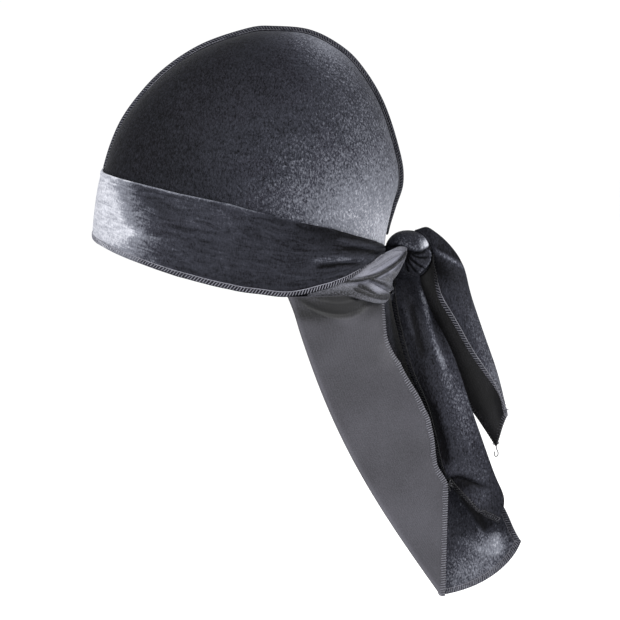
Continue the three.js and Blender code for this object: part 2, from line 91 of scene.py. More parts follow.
def shares(rows: int, columns: int) -> tuple[np.ndarray, np.ndarray]:
    """Grids of the shares from 0 to 1 down the rows and across the columns."""
    down, across = np.meshgrid(np.linspace(0, 1, rows), np.linspace(0, 1, columns), indexing="ij")
    return down, across


@dataclass(frozen=True)
class Sections:
    """A short table of sections that is read on a smooth curve."""

    names: tuple[str, ...]
    rows: tuple[tuple[float, ...], ...]

    def values(self, name: str) -> np.ndarray:
        """One column of the table."""
        return np.array([row[self.names.index(name)] for row in self.rows])

    def curve(self, keys: np.ndarray, name: str, at: Numbers) -> np.ndarray:
        """Smooth curve through a column.

        Args:
            keys: Place of each row, rising.
            name: Column that is read.
            at: Places between the rows.

        Returns:
            The column's value at each place.
        """
        values, last = self.values(name), len(keys) - 1
        at = np.asarray(at, float)
        i = np.clip(np.searchsorted(keys, at, side="right") - 1, 0, last - 1)
        t = np.clip((at - keys[i]) / (keys[i + 1] - keys[i]), 0.0, 1.0)
        a, b = values[np.clip(i - 1, 0, last)], values[i]
        c, d = values[i + 1], values[np.clip(i + 2, 0, last)]
        square = (2 * a - 5 * b + 4 * c - d) * t**2
        return (2 * b + (c - a) * t + square + (3 * b - a - 3 * c + d) * t**3) / 2

    def read(self, name: str, at: Numbers) -> np.ndarray:
        """Column at places on the first column's scale."""
        return self.curve(self.values(self.names[0]), name, at)

    def even(self, name: str, share: Numbers) -> np.ndarray:
        """Column at shares from 0 to 1 of a table with evenly spaced rows."""
        last = len(self.rows) - 1
        return self.curve(np.arange(last + 1.0), name, np.asarray(share, float) * last)


# Form.


@dataclass
class HeadForm:
    """Round form that the crown, the band and the flap's top follow."""

    half_length: float = 100.0
    height: float = 150.0
    half_width: float = 78.0
    fullness: float = 2.45
    outline: Sections = Sections(("back", "up"), (
        (-0.98, 0), (-0.982, 0.1), (-0.957, 0.235), (-0.915, 0.415), (-0.798, 0.613),
        (-0.565, 0.799), (-0.284, 0.929), (0.03, 1.002), (0.2, 1.011), (0.418, 0.997),
        (0.604, 0.937), (0.741, 0.853), (0.888, 0.695), (0.994, 0.482), (1.017, 0.358),
        (0.975, 0.245), (0.935, 0.12), (0.918, 0)))
    samples: int = 600
    normal_step: float = 0.5
    tilts: tuple[float, float] = (-1.2, 1.5)
    halvings: int = 34
    turns: np.ndarray = field(init=False)
    reaches: np.ndarray = field(init=False)

    def __post_init__(self) -> None:
        """Samples the side outline as turns up from the brow and reaches."""
        share = np.linspace(0.0, 1.0, self.samples)
        back = self.outline.even("back", share) * self.half_length
        up = self.outline.even("up", share) * self.height
        self.turns = np.arctan2(up, -back)
        self.reaches = np.hypot(back, up)

    def reach(self, y: np.ndarray, z: np.ndarray) -> np.ndarray:
        """Distance of the side outline from the origin in directions.

        Args:
            y: How far back each direction points.
            z: How far up each direction points.

        Returns:
            The distances.
        """
        front, rear = self.reaches[0], self.reaches[-1]
        low = (front + rear) / 2 + (rear - front) / 2 * y / np.maximum(np.hypot(y, z), 1e-6)
        return np.where(z <= 0, low, np.interp(np.arctan2(z, -y), self.turns, self.reaches))

    def level(self, p: np.ndarray) -> np.ndarray:
        """Level of points: 1 on the form's face, and in proportion along any ray.

        Args:
            p: The points.

        Returns:
            The level of each.
        """
        side = np.abs(p[..., 0]) / self.half_width
        arch = np.hypot(p[..., 1], p[..., 2]) / self.reach(p[..., 1], p[..., 2])
        return (side**self.fullness + arch**self.fullness) ** (1 / self.fullness)

    def normal(self, p: np.ndarray) -> np.ndarray:
        """Outward normal of the form at points."""
        steps = np.eye(3) * self.normal_step
        return unit(np.stack([self.level(p + s) - self.level(p - s) for s in steps], axis=-1))

    def over(self, direction: np.ndarray, out: Numbers) -> np.ndarray:
        """Points over the form's face in directions from the origin."""
        face = direction / self.level(direction)[..., None]
        return face + self.normal(face) * np.asarray(out, float)[..., None]

    def at(self, turn: Numbers, rise: Numbers, out: Numbers) -> np.ndarray:
        """Points over the form at a turn from the brow and a height.

        Args:
            turn: Turn in degrees from the brow, positive to the wearer's left.
            rise: Height above the origin.
            out: Distance from the form's face.

        Returns:
            The points.
        """
        turn, rise, out = np.broadcast_arrays(*(np.asarray(v, float) for v in (turn, rise, out)))
        side, back = np.sin(np.radians(turn)), -np.cos(np.radians(turn))
        low, high = (np.full(turn.shape, tilt) for tilt in self.tilts)
        for _ in range(self.halvings):
            tilt = (low + high) / 2
            ray = points(side * np.cos(tilt), back * np.cos(tilt), np.sin(tilt))
            below = ray[..., 2] / self.level(ray) < rise
            low, high = np.where(below, tilt, low), np.where(below, high, tilt)
        return self.over(points(side * np.cos(low), back * np.cos(low), np.sin(low)), out)


@dataclass
class DuragForm:
    """Sizes that several pieces share."""

    head: HeadForm = field(default_factory=HeadForm)
    wall: float = 1.5
    clearance: float = 0.3
    fold_radius: float = 2.2
    rim_tuck: float = 2.5
    rim_level_turn: float = 112.0
    band_height: float = 54.0
    edge_drop: float = 16.0
    band: Sections = Sections(("turn", "edge", "height"), (
        (0, 1.18, 0.79), (26, 0.85, 0.82), (44, 0.37, 0.88), (62, -0.16, 0.93),
        (85, -0.65, 0.96), (99, -0.84, 0.92), (112, -0.95, 0.86), (130, -0.63, 0.66),
        (140, -0.27, 0.47), (153, 0.28, 0.22), (160, 0.5, 0.11)))
    knot_size: tuple[float, float, float] = (35.0, 31.0, 32.0)
    knot_rise: float = 5.0

    @property
    def band_end(self) -> float:
        """Turn of the band's gathered end."""
        return self.band.rows[-1][0]

    @property
    def knot_centre(self) -> np.ndarray:
        """Centre of the knot, behind the nape."""
        nape = self.head.at(180.0, self.knot_rise, self.clearance)
        return np.array([0.0, nape[1] + self.knot_size[1] / 2 + self.clearance, self.knot_rise])

    def band_edge(self, turn: Numbers) -> np.ndarray:
        """Height of the band's lower edge."""
        return self.edge_drop * self.band.read("edge", np.abs(turn))

    def band_top(self, turn: Numbers) -> np.ndarray:
        """Height of the band's upper edge."""
        return self.band_edge(turn) + self.band_height * self.band.read("height", np.abs(turn))

    def rim_rise(self, turn: Numbers) -> np.ndarray:
        """Height of the crown's rim, tucked up behind the band."""
        return self.band_edge(np.minimum(np.abs(turn), self.rim_level_turn)) + self.rim_tuck


@dataclass(frozen=True)
class Fold:
    """A ridge or groove along a line that is given as seen from the wearer's left.

    Attributes:
        line: Points back and up that the fold follows.
        height: Height of the ridge, or depth of the groove if negative.
        width: Half width of the ridge.
        step: How much higher the cloth stays on one side of the line.
        reach: Distance in which the step dies away.
        detail: Samples of the curve for each point of the line.
        taper: Share of the line in which each end fades.
        step_slope: Steepness of the step.
    """

    line: Pairs
    height: float
    width: float
    step: float = 0.0
    reach: float = 8.0
    detail: int = 6
    taper: float = 0.2
    step_slope: float = 1.6

    def relief(self, back: np.ndarray, up: np.ndarray) -> np.ndarray:
        """Height of the fold over the cloth.

        Args:
            back: How far behind the origin each point lies.
            up: How far above the origin each point lies.

        Returns:
            Height along the cloth's normal.
        """
        table = Sections(("back", "up"), self.line)
        share = np.linspace(0.0, 1.0, self.detail * len(self.line))
        curve = np.stack([table.even("back", share), table.even("up", share)], axis=-1)
        place = np.stack([back.ravel(), up.ravel()], axis=-1)[:, None, :]
        start, run = curve[:-1], np.diff(curve, axis=0)
        t = np.clip(((place - start) * run).sum(-1) / (run**2).sum(-1), 0.0, 1.0)
        gap = place - (start + run * t[..., None])
        distance = np.linalg.norm(gap, axis=-1)
        near = distance.argmin(axis=1)
        pick = np.arange(len(near))
        away = distance[pick, near]
        turned = run[near, 0] * gap[pick, near, 1] - run[near, 1] * gap[pick, near, 0]
        along = (near + t[pick, near]) / len(start)
        fade = smooth(along, 0.0, self.taper) * smooth(1.0 - along, 0.0, self.taper)
        signed = away * np.sign(turned)
        drop = 0.5 * (1 + np.tanh(self.step_slope * signed / self.width))
        drop = drop * np.exp(-((away / self.reach) ** 2))
        relief = (self.height * np.exp(-((away / self.width) ** 2)) + self.step * drop) * fade
        return relief.reshape(back.shape)


@dataclass(frozen=True)
class ToneAndLightPatch:
    """A soft patch of lighter or darker colour: partly the crushed pile's own tone and partly painted
    sheen, highlights and shade.

    Attributes:
        back: Place of the middle behind the origin.
        up: Place of the middle above the origin.
        wide: Half length along the patch.
        tall: Half length across it.
        light: Lightness added at the middle.
        tilt: Turn of the patch in degrees.
    """

    back: float
    up: float
    wide: float
    tall: float
    light: float
    tilt: float = 0.0

    def tone_and_light(self, back: np.ndarray, up: np.ndarray) -> np.ndarray:
        """Lightness that the patch adds at places seen from the side.

        Args:
            back: How far behind the origin each place lies.
            up: How far above the origin each place lies.

        Returns:
            The lightness added at each place.
        """
        turn = math.radians(self.tilt)
        y, z = back - self.back, up - self.up
        along = (y * math.cos(turn) + z * math.sin(turn)) / self.wide
        across = (z * math.cos(turn) - y * math.sin(turn)) / self.tall
        return self.light * np.exp(-(along**2 + across**2))


def tone_and_light_at(place: np.ndarray, base: Numbers, patches: tuple[ToneAndLightPatch, ...],
           folds: tuple[Fold, ...] = (), fold_shading_gain: float = 0.12) -> np.ndarray:
    """Lightness of the cloth, from 0 to 1: its own tone with painted sheen, highlights and shade laid
    over it.

    Args:
        place: Points on the cloth.
        base: Lightness without patches.
        patches: Patches of own tone with painted sheen, highlights and shade.
        folds: Folds, whose ridges get a painted highlight and whose grooves get painted shade.
        fold_shading_gain: Painted lightness for each millimetre of a fold's height, so grooves are
            painted darker.

    Returns:
        Lightness at each point.
    """
    back, up = place[..., 1], place[..., 2]
    tone_and_light = np.zeros(back.shape) + base
    for patch in patches:
        tone_and_light = tone_and_light + patch.tone_and_light(back, up)
    # Painted shading: each fold's ridge is painted lighter and its groove darker.
    for fold in folds:
        tone_and_light = tone_and_light + fold_shading_gain * fold.relief(back, up)
    return np.clip(tone_and_light, 0.0, 1.0)


# Meshes.


def grid_normals(middle: np.ndarray) -> np.ndarray:
    """Unit normals of a grid of points, rows down and columns across."""
    return unit(np.cross(np.gradient(middle, axis=0), np.gradient(middle, axis=1)))


def lift(middle: np.ndarray, height: np.ndarray) -> np.ndarray:
    """Grid moved along its normals by a height."""
    return middle + grid_normals(middle) * height[..., None]


def tube_walls(ids: np.ndarray) -> list[list[int]]:
    """Faces between the rings of a closed tube, whose vertex indices stand in rows."""
    ahead = np.roll(ids, -1, axis=1)
    return np.stack([ids[:-1], ahead[:-1], ahead[1:], ids[1:]], axis=-1).reshape(-1, 4).tolist()


def boundary(rows: int, columns: int) -> np.ndarray:
    """Grid indices round the border: down the first column, across, up and back."""
    ids = np.arange(rows * columns).reshape(rows, columns)
    return np.concatenate([ids[:-1, 0], ids[-1, :-1], ids[:0:-1, -1], ids[0, :0:-1]])


def open_border(rows: int, columns: int) -> np.ndarray:
    """The border without the first row, where the cloth is sewn or tied in."""
    border = boundary(rows, columns)
    return border[: len(border) - columns + 1]


def mesh_object(name: str, verts: np.ndarray, faces: list, tone_and_light: np.ndarray | None = None,
                cloth: np.ndarray | None = None, slots: np.ndarray | None = None) -> bpy.types.Object:
    """Object with a smooth mesh.

    Args:
        name: The piece's name.
        verts: Points in millimetres.
        faces: Vertex indices of each face.
        tone_and_light: Lightness at each vertex: the cloth's own tone with painted sheen, highlights and
            shade.
        cloth: Place of each vertex on the flat cloth, in metres, for the UV map.
        slots: Material slot of each face.

    Returns:
        The linked object.
    """
    mesh = bpy.data.meshes.new(name)
    mesh.from_pydata((verts * MM).tolist(), [], faces)
    mesh.polygons.foreach_set("use_smooth", np.ones(len(mesh.polygons), bool))
    if slots is not None:
        mesh.polygons.foreach_set("material_index", slots.astype(np.int32))
    # Per-vertex lightness that the finishes read: own tone with painted light and shade.
    if tone_and_light is not None:
        mesh.attributes.new("tone_and_light", "FLOAT", "POINT").data.foreach_set("value", tone_and_light.astype(np.float32))
    if cloth is not None:
        corners = np.empty(len(mesh.loops), np.int32)
        mesh.loops.foreach_get("vertex_index", corners)
        mesh.uv_layers.new(name="cloth").data.foreach_set("uv", cloth[corners].astype(np.float32).ravel())
    mesh.update()
    piece = bpy.data.objects.new(name, mesh)
    bpy.context.scene.collection.objects.link(piece)
    return piece


def cloth_piece(name: str, middle: np.ndarray, wall: float, tone_and_light: tuple[Numbers, Numbers],
                finishes: tuple[bpy.types.Material, bpy.types.Material]) -> bpy.types.Object:
    """Closed cloth wall with round edges about its middle surface.

    Args:
        name: The piece's name.
        middle: Grid of points, rows down and columns across.
        wall: Thickness of the cloth.
        tone_and_light: Lightness on the outer and the inner face, with painted sheen, highlights and
            shade.
        finishes: Materials of the outer and the inner face.

    Returns:
        The linked object.
    """
    rows, columns = middle.shape[:2]
    count = rows * columns
    normals = grid_normals(middle)
    outward = np.zeros_like(middle)
    outward[:, 0] += unit(middle[:, 0] - middle[:, 1])
    outward[:, -1] += unit(middle[:, -1] - middle[:, -2])
    outward[0] += unit(middle[0] - middle[1])
    outward[-1] += unit(middle[-1] - middle[-2])
    flat, border = middle.reshape(-1, 3), boundary(rows, columns)
    rim = flat[border] + unit(outward.reshape(-1, 3)[border]) * wall * EDGE_ROUND
    offset = normals.reshape(-1, 3) * wall / 2
    verts = np.concatenate([flat + offset, flat - offset, rim])
    ids = np.arange(count).reshape(rows, columns)
    front = np.stack([ids[:-1, :-1], ids[1:, :-1], ids[1:, 1:], ids[:-1, 1:]], axis=-1)
    front = front.reshape(-1, 4)
    back = front[:, ::-1] + count
    ring = 2 * count + np.arange(len(border))
    ahead, ring_ahead = np.roll(border, -1), np.roll(ring, -1)
    outer_rim = np.stack([border, ring, ring_ahead, ahead], axis=-1)
    inner_rim = np.stack([ring, border + count, ahead + count, ring_ahead], axis=-1)
    faces = np.concatenate([front, back, outer_rim, inner_rim])
    slots = np.repeat([0, 1, 0, 1], [len(front), len(back), len(outer_rim), len(inner_rim)])
    down = np.concatenate([[0], np.linalg.norm(np.diff(middle, axis=0), axis=-1).mean(1).cumsum()])
    across = np.concatenate([[0], np.linalg.norm(np.diff(middle, axis=1), axis=-1).mean(0).cumsum()])
    place = np.stack(np.meshgrid(across, down), axis=-1).reshape(-1, 2) * MM
    tone_and_light_parts = [np.broadcast_to(n, (rows, columns)).ravel() for n in tone_and_light]
    piece = mesh_object(name, verts, faces.tolist(), np.concatenate([*tone_and_light_parts, tone_and_light_parts[0][border]]),
                        np.concatenate([place, place, place[border]]), slots)
    for finish in finishes:
        piece.data.materials.append(finish)
    return piece


@dataclass(frozen=True)
class EdgeLine:
    """A cloth edge with the direction into the cloth and the cloth's normal along it."""

    edge: np.ndarray
    inward: np.ndarray
    normal: np.ndarray

    @staticmethod
    def of_grid(middle: np.ndarray, path: np.ndarray, inset: int = 2) -> "EdgeLine":
        """Edge line along chosen border points of a grid.

        Args:
            middle: Grid of points.
            path: Flat indices of border points, in order.
            inset: How many points in from the border the cloth's direction is read.

        Returns:
            The edge line.
        """
        rows, columns = middle.shape[:2]
        i, j = np.unravel_index(path, (rows, columns))
        inside = middle[np.clip(i, inset, rows - 1 - inset), np.clip(j, inset, columns - 1 - inset)]
        edge = middle[i, j]
        normal = grid_normals(middle)[i, j]
        run = unit(np.gradient(edge, axis=0))
        inward = inside - edge
        inward = unit(inward - run * (inward * run).sum(-1, keepdims=True))
        turned = np.cross(run, inward)
        return EdgeLine(edge, inward, unit(turned) * np.sign((turned * normal).sum(-1, keepdims=True)))

    def sample(self, length: np.ndarray) -> tuple[np.ndarray, np.ndarray, np.ndarray]:
        """Edge points, inward vectors and normals at lengths along the edge.

        Args:
            length: Lengths along the edge.

        Returns:
            The three arrays.
        """
        runs = np.concatenate([[0], np.linalg.norm(np.diff(self.edge, axis=0), axis=-1).cumsum()])
        read = [np.stack([np.interp(length, runs, v[:, k]) for k in range(3)], axis=-1)
                for v in (self.edge, self.inward, self.normal)]
        return read[0], unit(read[1]), unit(read[2])

    @property
    def length(self) -> float:
        """Length of the edge."""
        return float(np.linalg.norm(np.diff(self.edge, axis=0), axis=-1).sum())


def thread_tube(path: np.ndarray, radius: float, sides: int) -> tuple[np.ndarray, list]:
    """Closed tube round a path.

    Args:
        path: Points that the thread follows.
        radius: Radius of the thread.
        sides: Sides of its section.

    Returns:
        Points and faces of the tube.
    """
    run = unit(np.gradient(path, axis=0))
    helper = np.where(np.abs(run[:, :1]) < 0.8, np.array([[1.0, 0, 0]]), np.array([[0, 1.0, 0]]))
    first = unit(np.cross(run, helper))
    second = np.cross(run, first)
    turn = np.linspace(0.0, 2 * math.pi, sides, endpoint=False)[None, :, None]
    ring = first[:, None] * np.cos(turn) + second[:, None] * np.sin(turn)
    verts = (path[:, None] + ring * radius).reshape(-1, 3)
    ids = np.arange(len(path) * sides).reshape(len(path), sides)
    return verts, tube_walls(ids) + [ids[0, ::-1].tolist(), ids[-1].tolist()]


def loose_end(anchor: np.ndarray, bends: Pairs, side: float = 0.6) -> np.ndarray:
    """Path of a short loose thread end.

    Args:
        anchor: Point on the edge that it leaves.
        bends: Offsets back and up from the anchor that it passes.
        side: How far it sways to the side.

    Returns:
        Points that the thread follows.
    """
    table = Sections(("back", "up"), ((0.0, 0.0), *bends))
    share = np.linspace(0.0, 1.0, 5 * len(bends) + 1)
    sway = side * np.sin(share * math.pi)
    return anchor + points(sway, table.even("back", share), table.even("up", share))


@dataclass(frozen=True)
class Overlock:
    """Thread that is whipped round a raw edge.

    Attributes:
        width: How far the stitches reach into the cloth.
        pitch: Distance from stitch to stitch.
        thread: Radius of the thread.
        slant: Lean of each stitch, in pitches.
        unevenness: Share of the width by which stitches differ.
        waves: Rates of the two waves that make them differ.
        squareness: Power that flattens the thread against the cloth.
        needle_inset: Distance of the needle thread from the stitches' inner ends.
        needle_dip: Rise and fall of the needle thread, in radii.
        loose_tone: Lightness of the loose ends.
        loose_gain: How much thicker the loose ends are, as a factor.
        steps: Points of the path for each stitch.
        sides: Sides of the whipping thread.
        needle_sides: Sides of the needle thread.
    """

    width: float = 3.0
    pitch: float = 1.95
    thread: float = 0.29
    slant: float = 0.55
    unevenness: float = 0.16
    waves: tuple[float, float] = (0.173, 0.071)
    squareness: float = 0.3
    needle_inset: float = 0.2
    needle_dip: float = 0.25
    loose_tone: float = 0.0
    loose_gain: float = 1.2
    steps: int = 12
    sides: int = 5
    needle_sides: int = 4

    def path(self, line: EdgeLine, wall: float) -> np.ndarray:
        """Path of the thread round an edge.

        Args:
            line: The edge.
            wall: Thickness of the cloth there.

        Returns:
            Points that the thread follows.
        """
        turns = max(int(line.length / self.pitch) - 1, 1)
        phase = np.linspace(0.0, 2 * math.pi * turns, turns * self.steps + 1)
        into = 0.5 - 0.5 * np.cos(phase)
        length = (phase / (2 * math.pi) + self.slant * into) * line.length / (turns + self.slant)
        edge, inward, normal = line.sample(length)
        first, second = self.waves
        uneven = np.sin(phase * first) * np.sin(phase * second + 1)
        reach = self.width * (1 + self.unevenness * uneven)
        swing = np.sin(phase)
        high = (wall / 2 + self.thread * 0.8) * np.sign(swing) * np.abs(swing) ** self.squareness
        return edge + inward * (into * reach - self.thread)[:, None] + normal * high[:, None]

    def needle(self, line: EdgeLine, wall: float) -> np.ndarray:
        """Path of the straight needle thread at the whipping's inner side.

        Args:
            line: The edge.
            wall: Thickness of the cloth there.

        Returns:
            Points that the thread follows.
        """
        count = max(int(line.length / self.pitch), 1)
        length = np.linspace(0.01, 0.99, 4 * count + 1) * line.length
        edge, inward, normal = line.sample(length)
        dip = self.needle_dip * np.sin(np.linspace(0, 2 * math.pi * count, len(length)))
        high = wall / 2 + self.thread * (0.5 + dip)
        return edge + inward * (self.width - self.needle_inset) + normal * high[:, None]

    def piece(self, name: str, line: EdgeLine, wall: float, finish: bpy.types.Material,
              tones: Pairs, loose: tuple[np.ndarray, ...] = ()) -> bpy.types.Object:
        """Overlock thread along an edge.

        Args:
            name: The piece's name.
            line: The edge.
            wall: Thickness of the cloth there.
            finish: The thread's material.
            tones: Painted light and shade along the thread: its lightness at shares of the edge's length.
            loose: Paths of short loose thread ends.

        Returns:
            The linked object.
        """
        threads = [(self.path(line, wall), self.thread, self.sides, tones),
                   (self.needle(line, wall), self.thread, self.needle_sides, tones)]
        even_tone = ((0.0, self.loose_tone), (1.0, self.loose_tone))
        threads += [(path, self.thread * self.loose_gain, self.sides, even_tone) for path in loose]
        verts, faces, tone_and_light_parts, count = [], [], [], 0
        for path, radius, sides, shades in threads:
            tube, walls = thread_tube(path, radius, sides)
            faces += [[k + count for k in face] for face in walls]
            tone_and_light_parts.append(np.interp(np.linspace(0, 1, len(path)).repeat(sides), *zip(*shades)))
            verts.append(tube)
            count += len(tube)
        piece = mesh_object(name, np.concatenate(verts), faces, np.concatenate(tone_and_light_parts))
        piece.data.materials.append(finish)
        return piece


# Finishes.


def srgb(code: str) -> tuple[float, float, float, float]:
    """Linear colour of an sRGB hex value.

    Args:
        code: The value, as "#rrggbb".

    Returns:
        Red, green, blue and alpha.
    """
    parts = [int(code[i:i + 2], 16) / 255 for i in (1, 3, 5)]
    linear = [p / 12.92 if p <= 0.04045 else ((p + 0.055) / 1.055) ** 2.4 for p in parts]
    return (*linear, 1.0)


def add_node(tree: bpy.types.NodeTree, kind: str, links: dict | None = None,
             **settings: object) -> bpy.types.Node:
    """Adds a node with its settings, values and links.

    Args:
        tree: Node tree of the material.
        kind: The node's type.
        links: For each input, a value or the output that feeds it.
        settings: Properties of the node.

    Returns:
        The node.
    """
    node = tree.nodes.new(kind)
    for key, value in settings.items():
        setattr(node, key, value)
    for key, value in (links or {}).items():
        if isinstance(value, bpy.types.NodeSocket):
            tree.links.new(value, node.inputs[key])
        else:
            node.inputs[key].default_value = value
    return node


def new_material(name: str) -> tuple[bpy.types.Material, bpy.types.NodeTree]:
    """Empty node material.

    Args:
        name: The material's name.

    Returns:
        The material and its node tree.
    """
    material = bpy.data.materials.new(name)
    material.use_nodes = True
    material.node_tree.nodes.clear()
    return material, material.node_tree


@dataclass(frozen=True)
class CrushedVelvet:
    """Crushed polyester velvet: a knit ground with a short cut pile, pressed every way.

    The eye sees near black where the pile points at it and silvery grey where it lies over; this sheen is
    painted into the base colour from the lightness attribute.
    """

    name: str = "crushed_velvet"
    tones: tuple[tuple[float, str], ...] = (
        (0.0, "#040406"), (0.35, "#2b2c33"), (0.7, "#65676f"), (1.0, "#bfc0c7"))
    sheen: float = 0.025
    sheen_roughness: float = 0.35
    sheen_tint: str = "#aab0c4"
    roughness: float = 0.62
    specular: float = 0.04
    patch: float = 0.09
    crush: float = 0.13
    streak: float = 0.12
    tuft: float = 0.6
    crackle: float = 0.26
    crepe: float = 0.2
    lean: float = math.radians(35)

    def material(self) -> bpy.types.Material:
        """Builds the node material.

        Returns:
            The material.
        """
        material, tree = new_material(self.name)
        coords = add_node(tree, "ShaderNodeTexCoord")
        place = coords.outputs["Object"]
        # The lightness attribute carries the pile's own tone with painted sheen, highlights and shade;
        # the ramp below makes it the base colour, silvery at the top.
        tone_and_light = add_node(tree, "ShaderNodeAttribute", attribute_name="tone_and_light").outputs["Fac"]
        # Pressed areas of about 60 mm, crush marks of 8 mm, crinkles of 2.2 mm, and tufts of
        # 1.1 mm: real tufts are near 0.3 mm and are drawn coarser to show.
        leaning = add_node(tree, "ShaderNodeMapping", {"Vector": place, "Scale": (1.0, 1.25, 0.6),
                                                       "Rotation": (self.lean, 0.0, 0.0)}).outputs[0]
        noise = {}
        for key, size, detail, twist in (("patch", 60.0, 2.0, 0.8), ("crush", 8.0, 4.0, 2.0),
                                         ("tuft", 1.1, 3.0, 0.6), ("crepe", 2.2, 2.0, 1.6)):
            noise[key] = add_node(tree, "ShaderNodeTexNoise", {
                "Vector": leaning if key in ("tuft", "crepe") else place, "Scale": 1 / (size * MM),
                "Detail": detail, "Roughness": 0.65, "Distortion": twist}).outputs["Fac"]
        # Streaks 3 mm wide and 18 mm long, along the strip that the piece is cut from.
        strip = add_node(tree, "ShaderNodeMapping", {"Vector": coords.outputs["UV"], "Scale": (
            1 / (3 * MM), 1 / (18 * MM), 1.0)}).outputs[0]
        noise["streak"] = add_node(tree, "ShaderNodeTexNoise", {
            "Vector": strip, "Scale": 1.0, "Detail": 3.0, "Roughness": 0.6,
            "Distortion": 1.2}).outputs["Fac"]
        # Crazed lines round cells of 2.5 mm, where the pressed pile parts. They fade where the
        # pile stands up and where it lies quite flat.
        cells = add_node(tree, "ShaderNodeTexVoronoi", {"Vector": place, "Scale": 1 / (2.5 * MM)},
                         feature="DISTANCE_TO_EDGE").outputs["Distance"]
        reads = {}
        for key, source, low, high, first, last in (
                ("parting", cells, 0.0, 0.3, -1.0, 0.0), ("broken", noise["crepe"], 0.42, 0.62, 0.0, 1.0),
                ("lying", tone_and_light, 0.08, 0.34, 0.0, 1.0), ("flat", tone_and_light, 0.45, 0.9, 1.0, 0.3),
                ("leant", tone_and_light, 0.0, 0.4, 0.3, 1.0)):
            reads[key] = add_node(tree, "ShaderNodeMapRange", {
                "Value": source, "From Min": low, "From Max": high, "To Min": first,
                "To Max": last}).outputs[0]
        lines = reads["parting"]
        for key in ("broken", "lying", "flat"):
            lines = add_node(tree, "ShaderNodeMath", {0: lines, 1: reads[key]},
                             operation="MULTIPLY").outputs[0]
        light = add_node(tree, "ShaderNodeMath", {0: lines, 1: self.crackle, 2: tone_and_light},
                         operation="MULTIPLY_ADD").outputs[0]
        # Upright pile stays dark all over, so the marks show where it leans.
        share = add_node(tree, "ShaderNodeMath", {0: reads["leant"], 1: reads["flat"]},
                         operation="MULTIPLY").outputs[0]
        for key, weight in (("patch", self.patch), ("crush", self.crush), ("tuft", self.tuft),
                            ("crepe", self.crepe), ("streak", self.streak)):
            centred = add_node(tree, "ShaderNodeMath", {0: noise[key], 1: -0.5},
                               operation="ADD").outputs[0]
            marks = add_node(tree, "ShaderNodeMath", {0: centred, 1: share},
                             operation="MULTIPLY").outputs[0]
            light = add_node(tree, "ShaderNodeMath", {0: marks, 1: 2 * weight, 2: light},
                             operation="MULTIPLY_ADD").outputs[0]
        ramp = add_node(tree, "ShaderNodeValToRGB", {"Fac": light})
        for stop, _ in self.tones[1:-1]:
            ramp.color_ramp.elements.new(stop)
        for element, (_, colour) in zip(ramp.color_ramp.elements, self.tones):
            element.color = srgb(colour)
        height = add_node(tree, "ShaderNodeMath", {0: lines, 1: 1.0, 2: noise["crepe"]},
                          operation="MULTIPLY_ADD").outputs[0]
        # Bumps from coarse to fine: crush folds 1.2 mm high, crinkles 0.5 mm, tufts 0.35 mm.
        links = {}
        for source, strength, size in ((noise["crush"], 0.4, 1.2), (height, 0.5, 0.5),
                                       (noise["tuft"], 0.6, 0.35)):
            bump = add_node(tree, "ShaderNodeBump", {"Height": source, "Strength": strength,
                                                     "Distance": size * MM, **links})
            links = {"Normal": bump.outputs[0]}
        shader = add_node(tree, "ShaderNodeBsdfPrincipled", {
            "Base Color": ramp.outputs["Color"], "Roughness": self.roughness, **links,
            "Specular IOR Level": self.specular, "Sheen Weight": self.sheen,
            "Sheen Roughness": self.sheen_roughness, "Sheen Tint": srgb(self.sheen_tint)})
        add_node(tree, "ShaderNodeOutputMaterial", {"Surface": shader.outputs[0]})
        return material


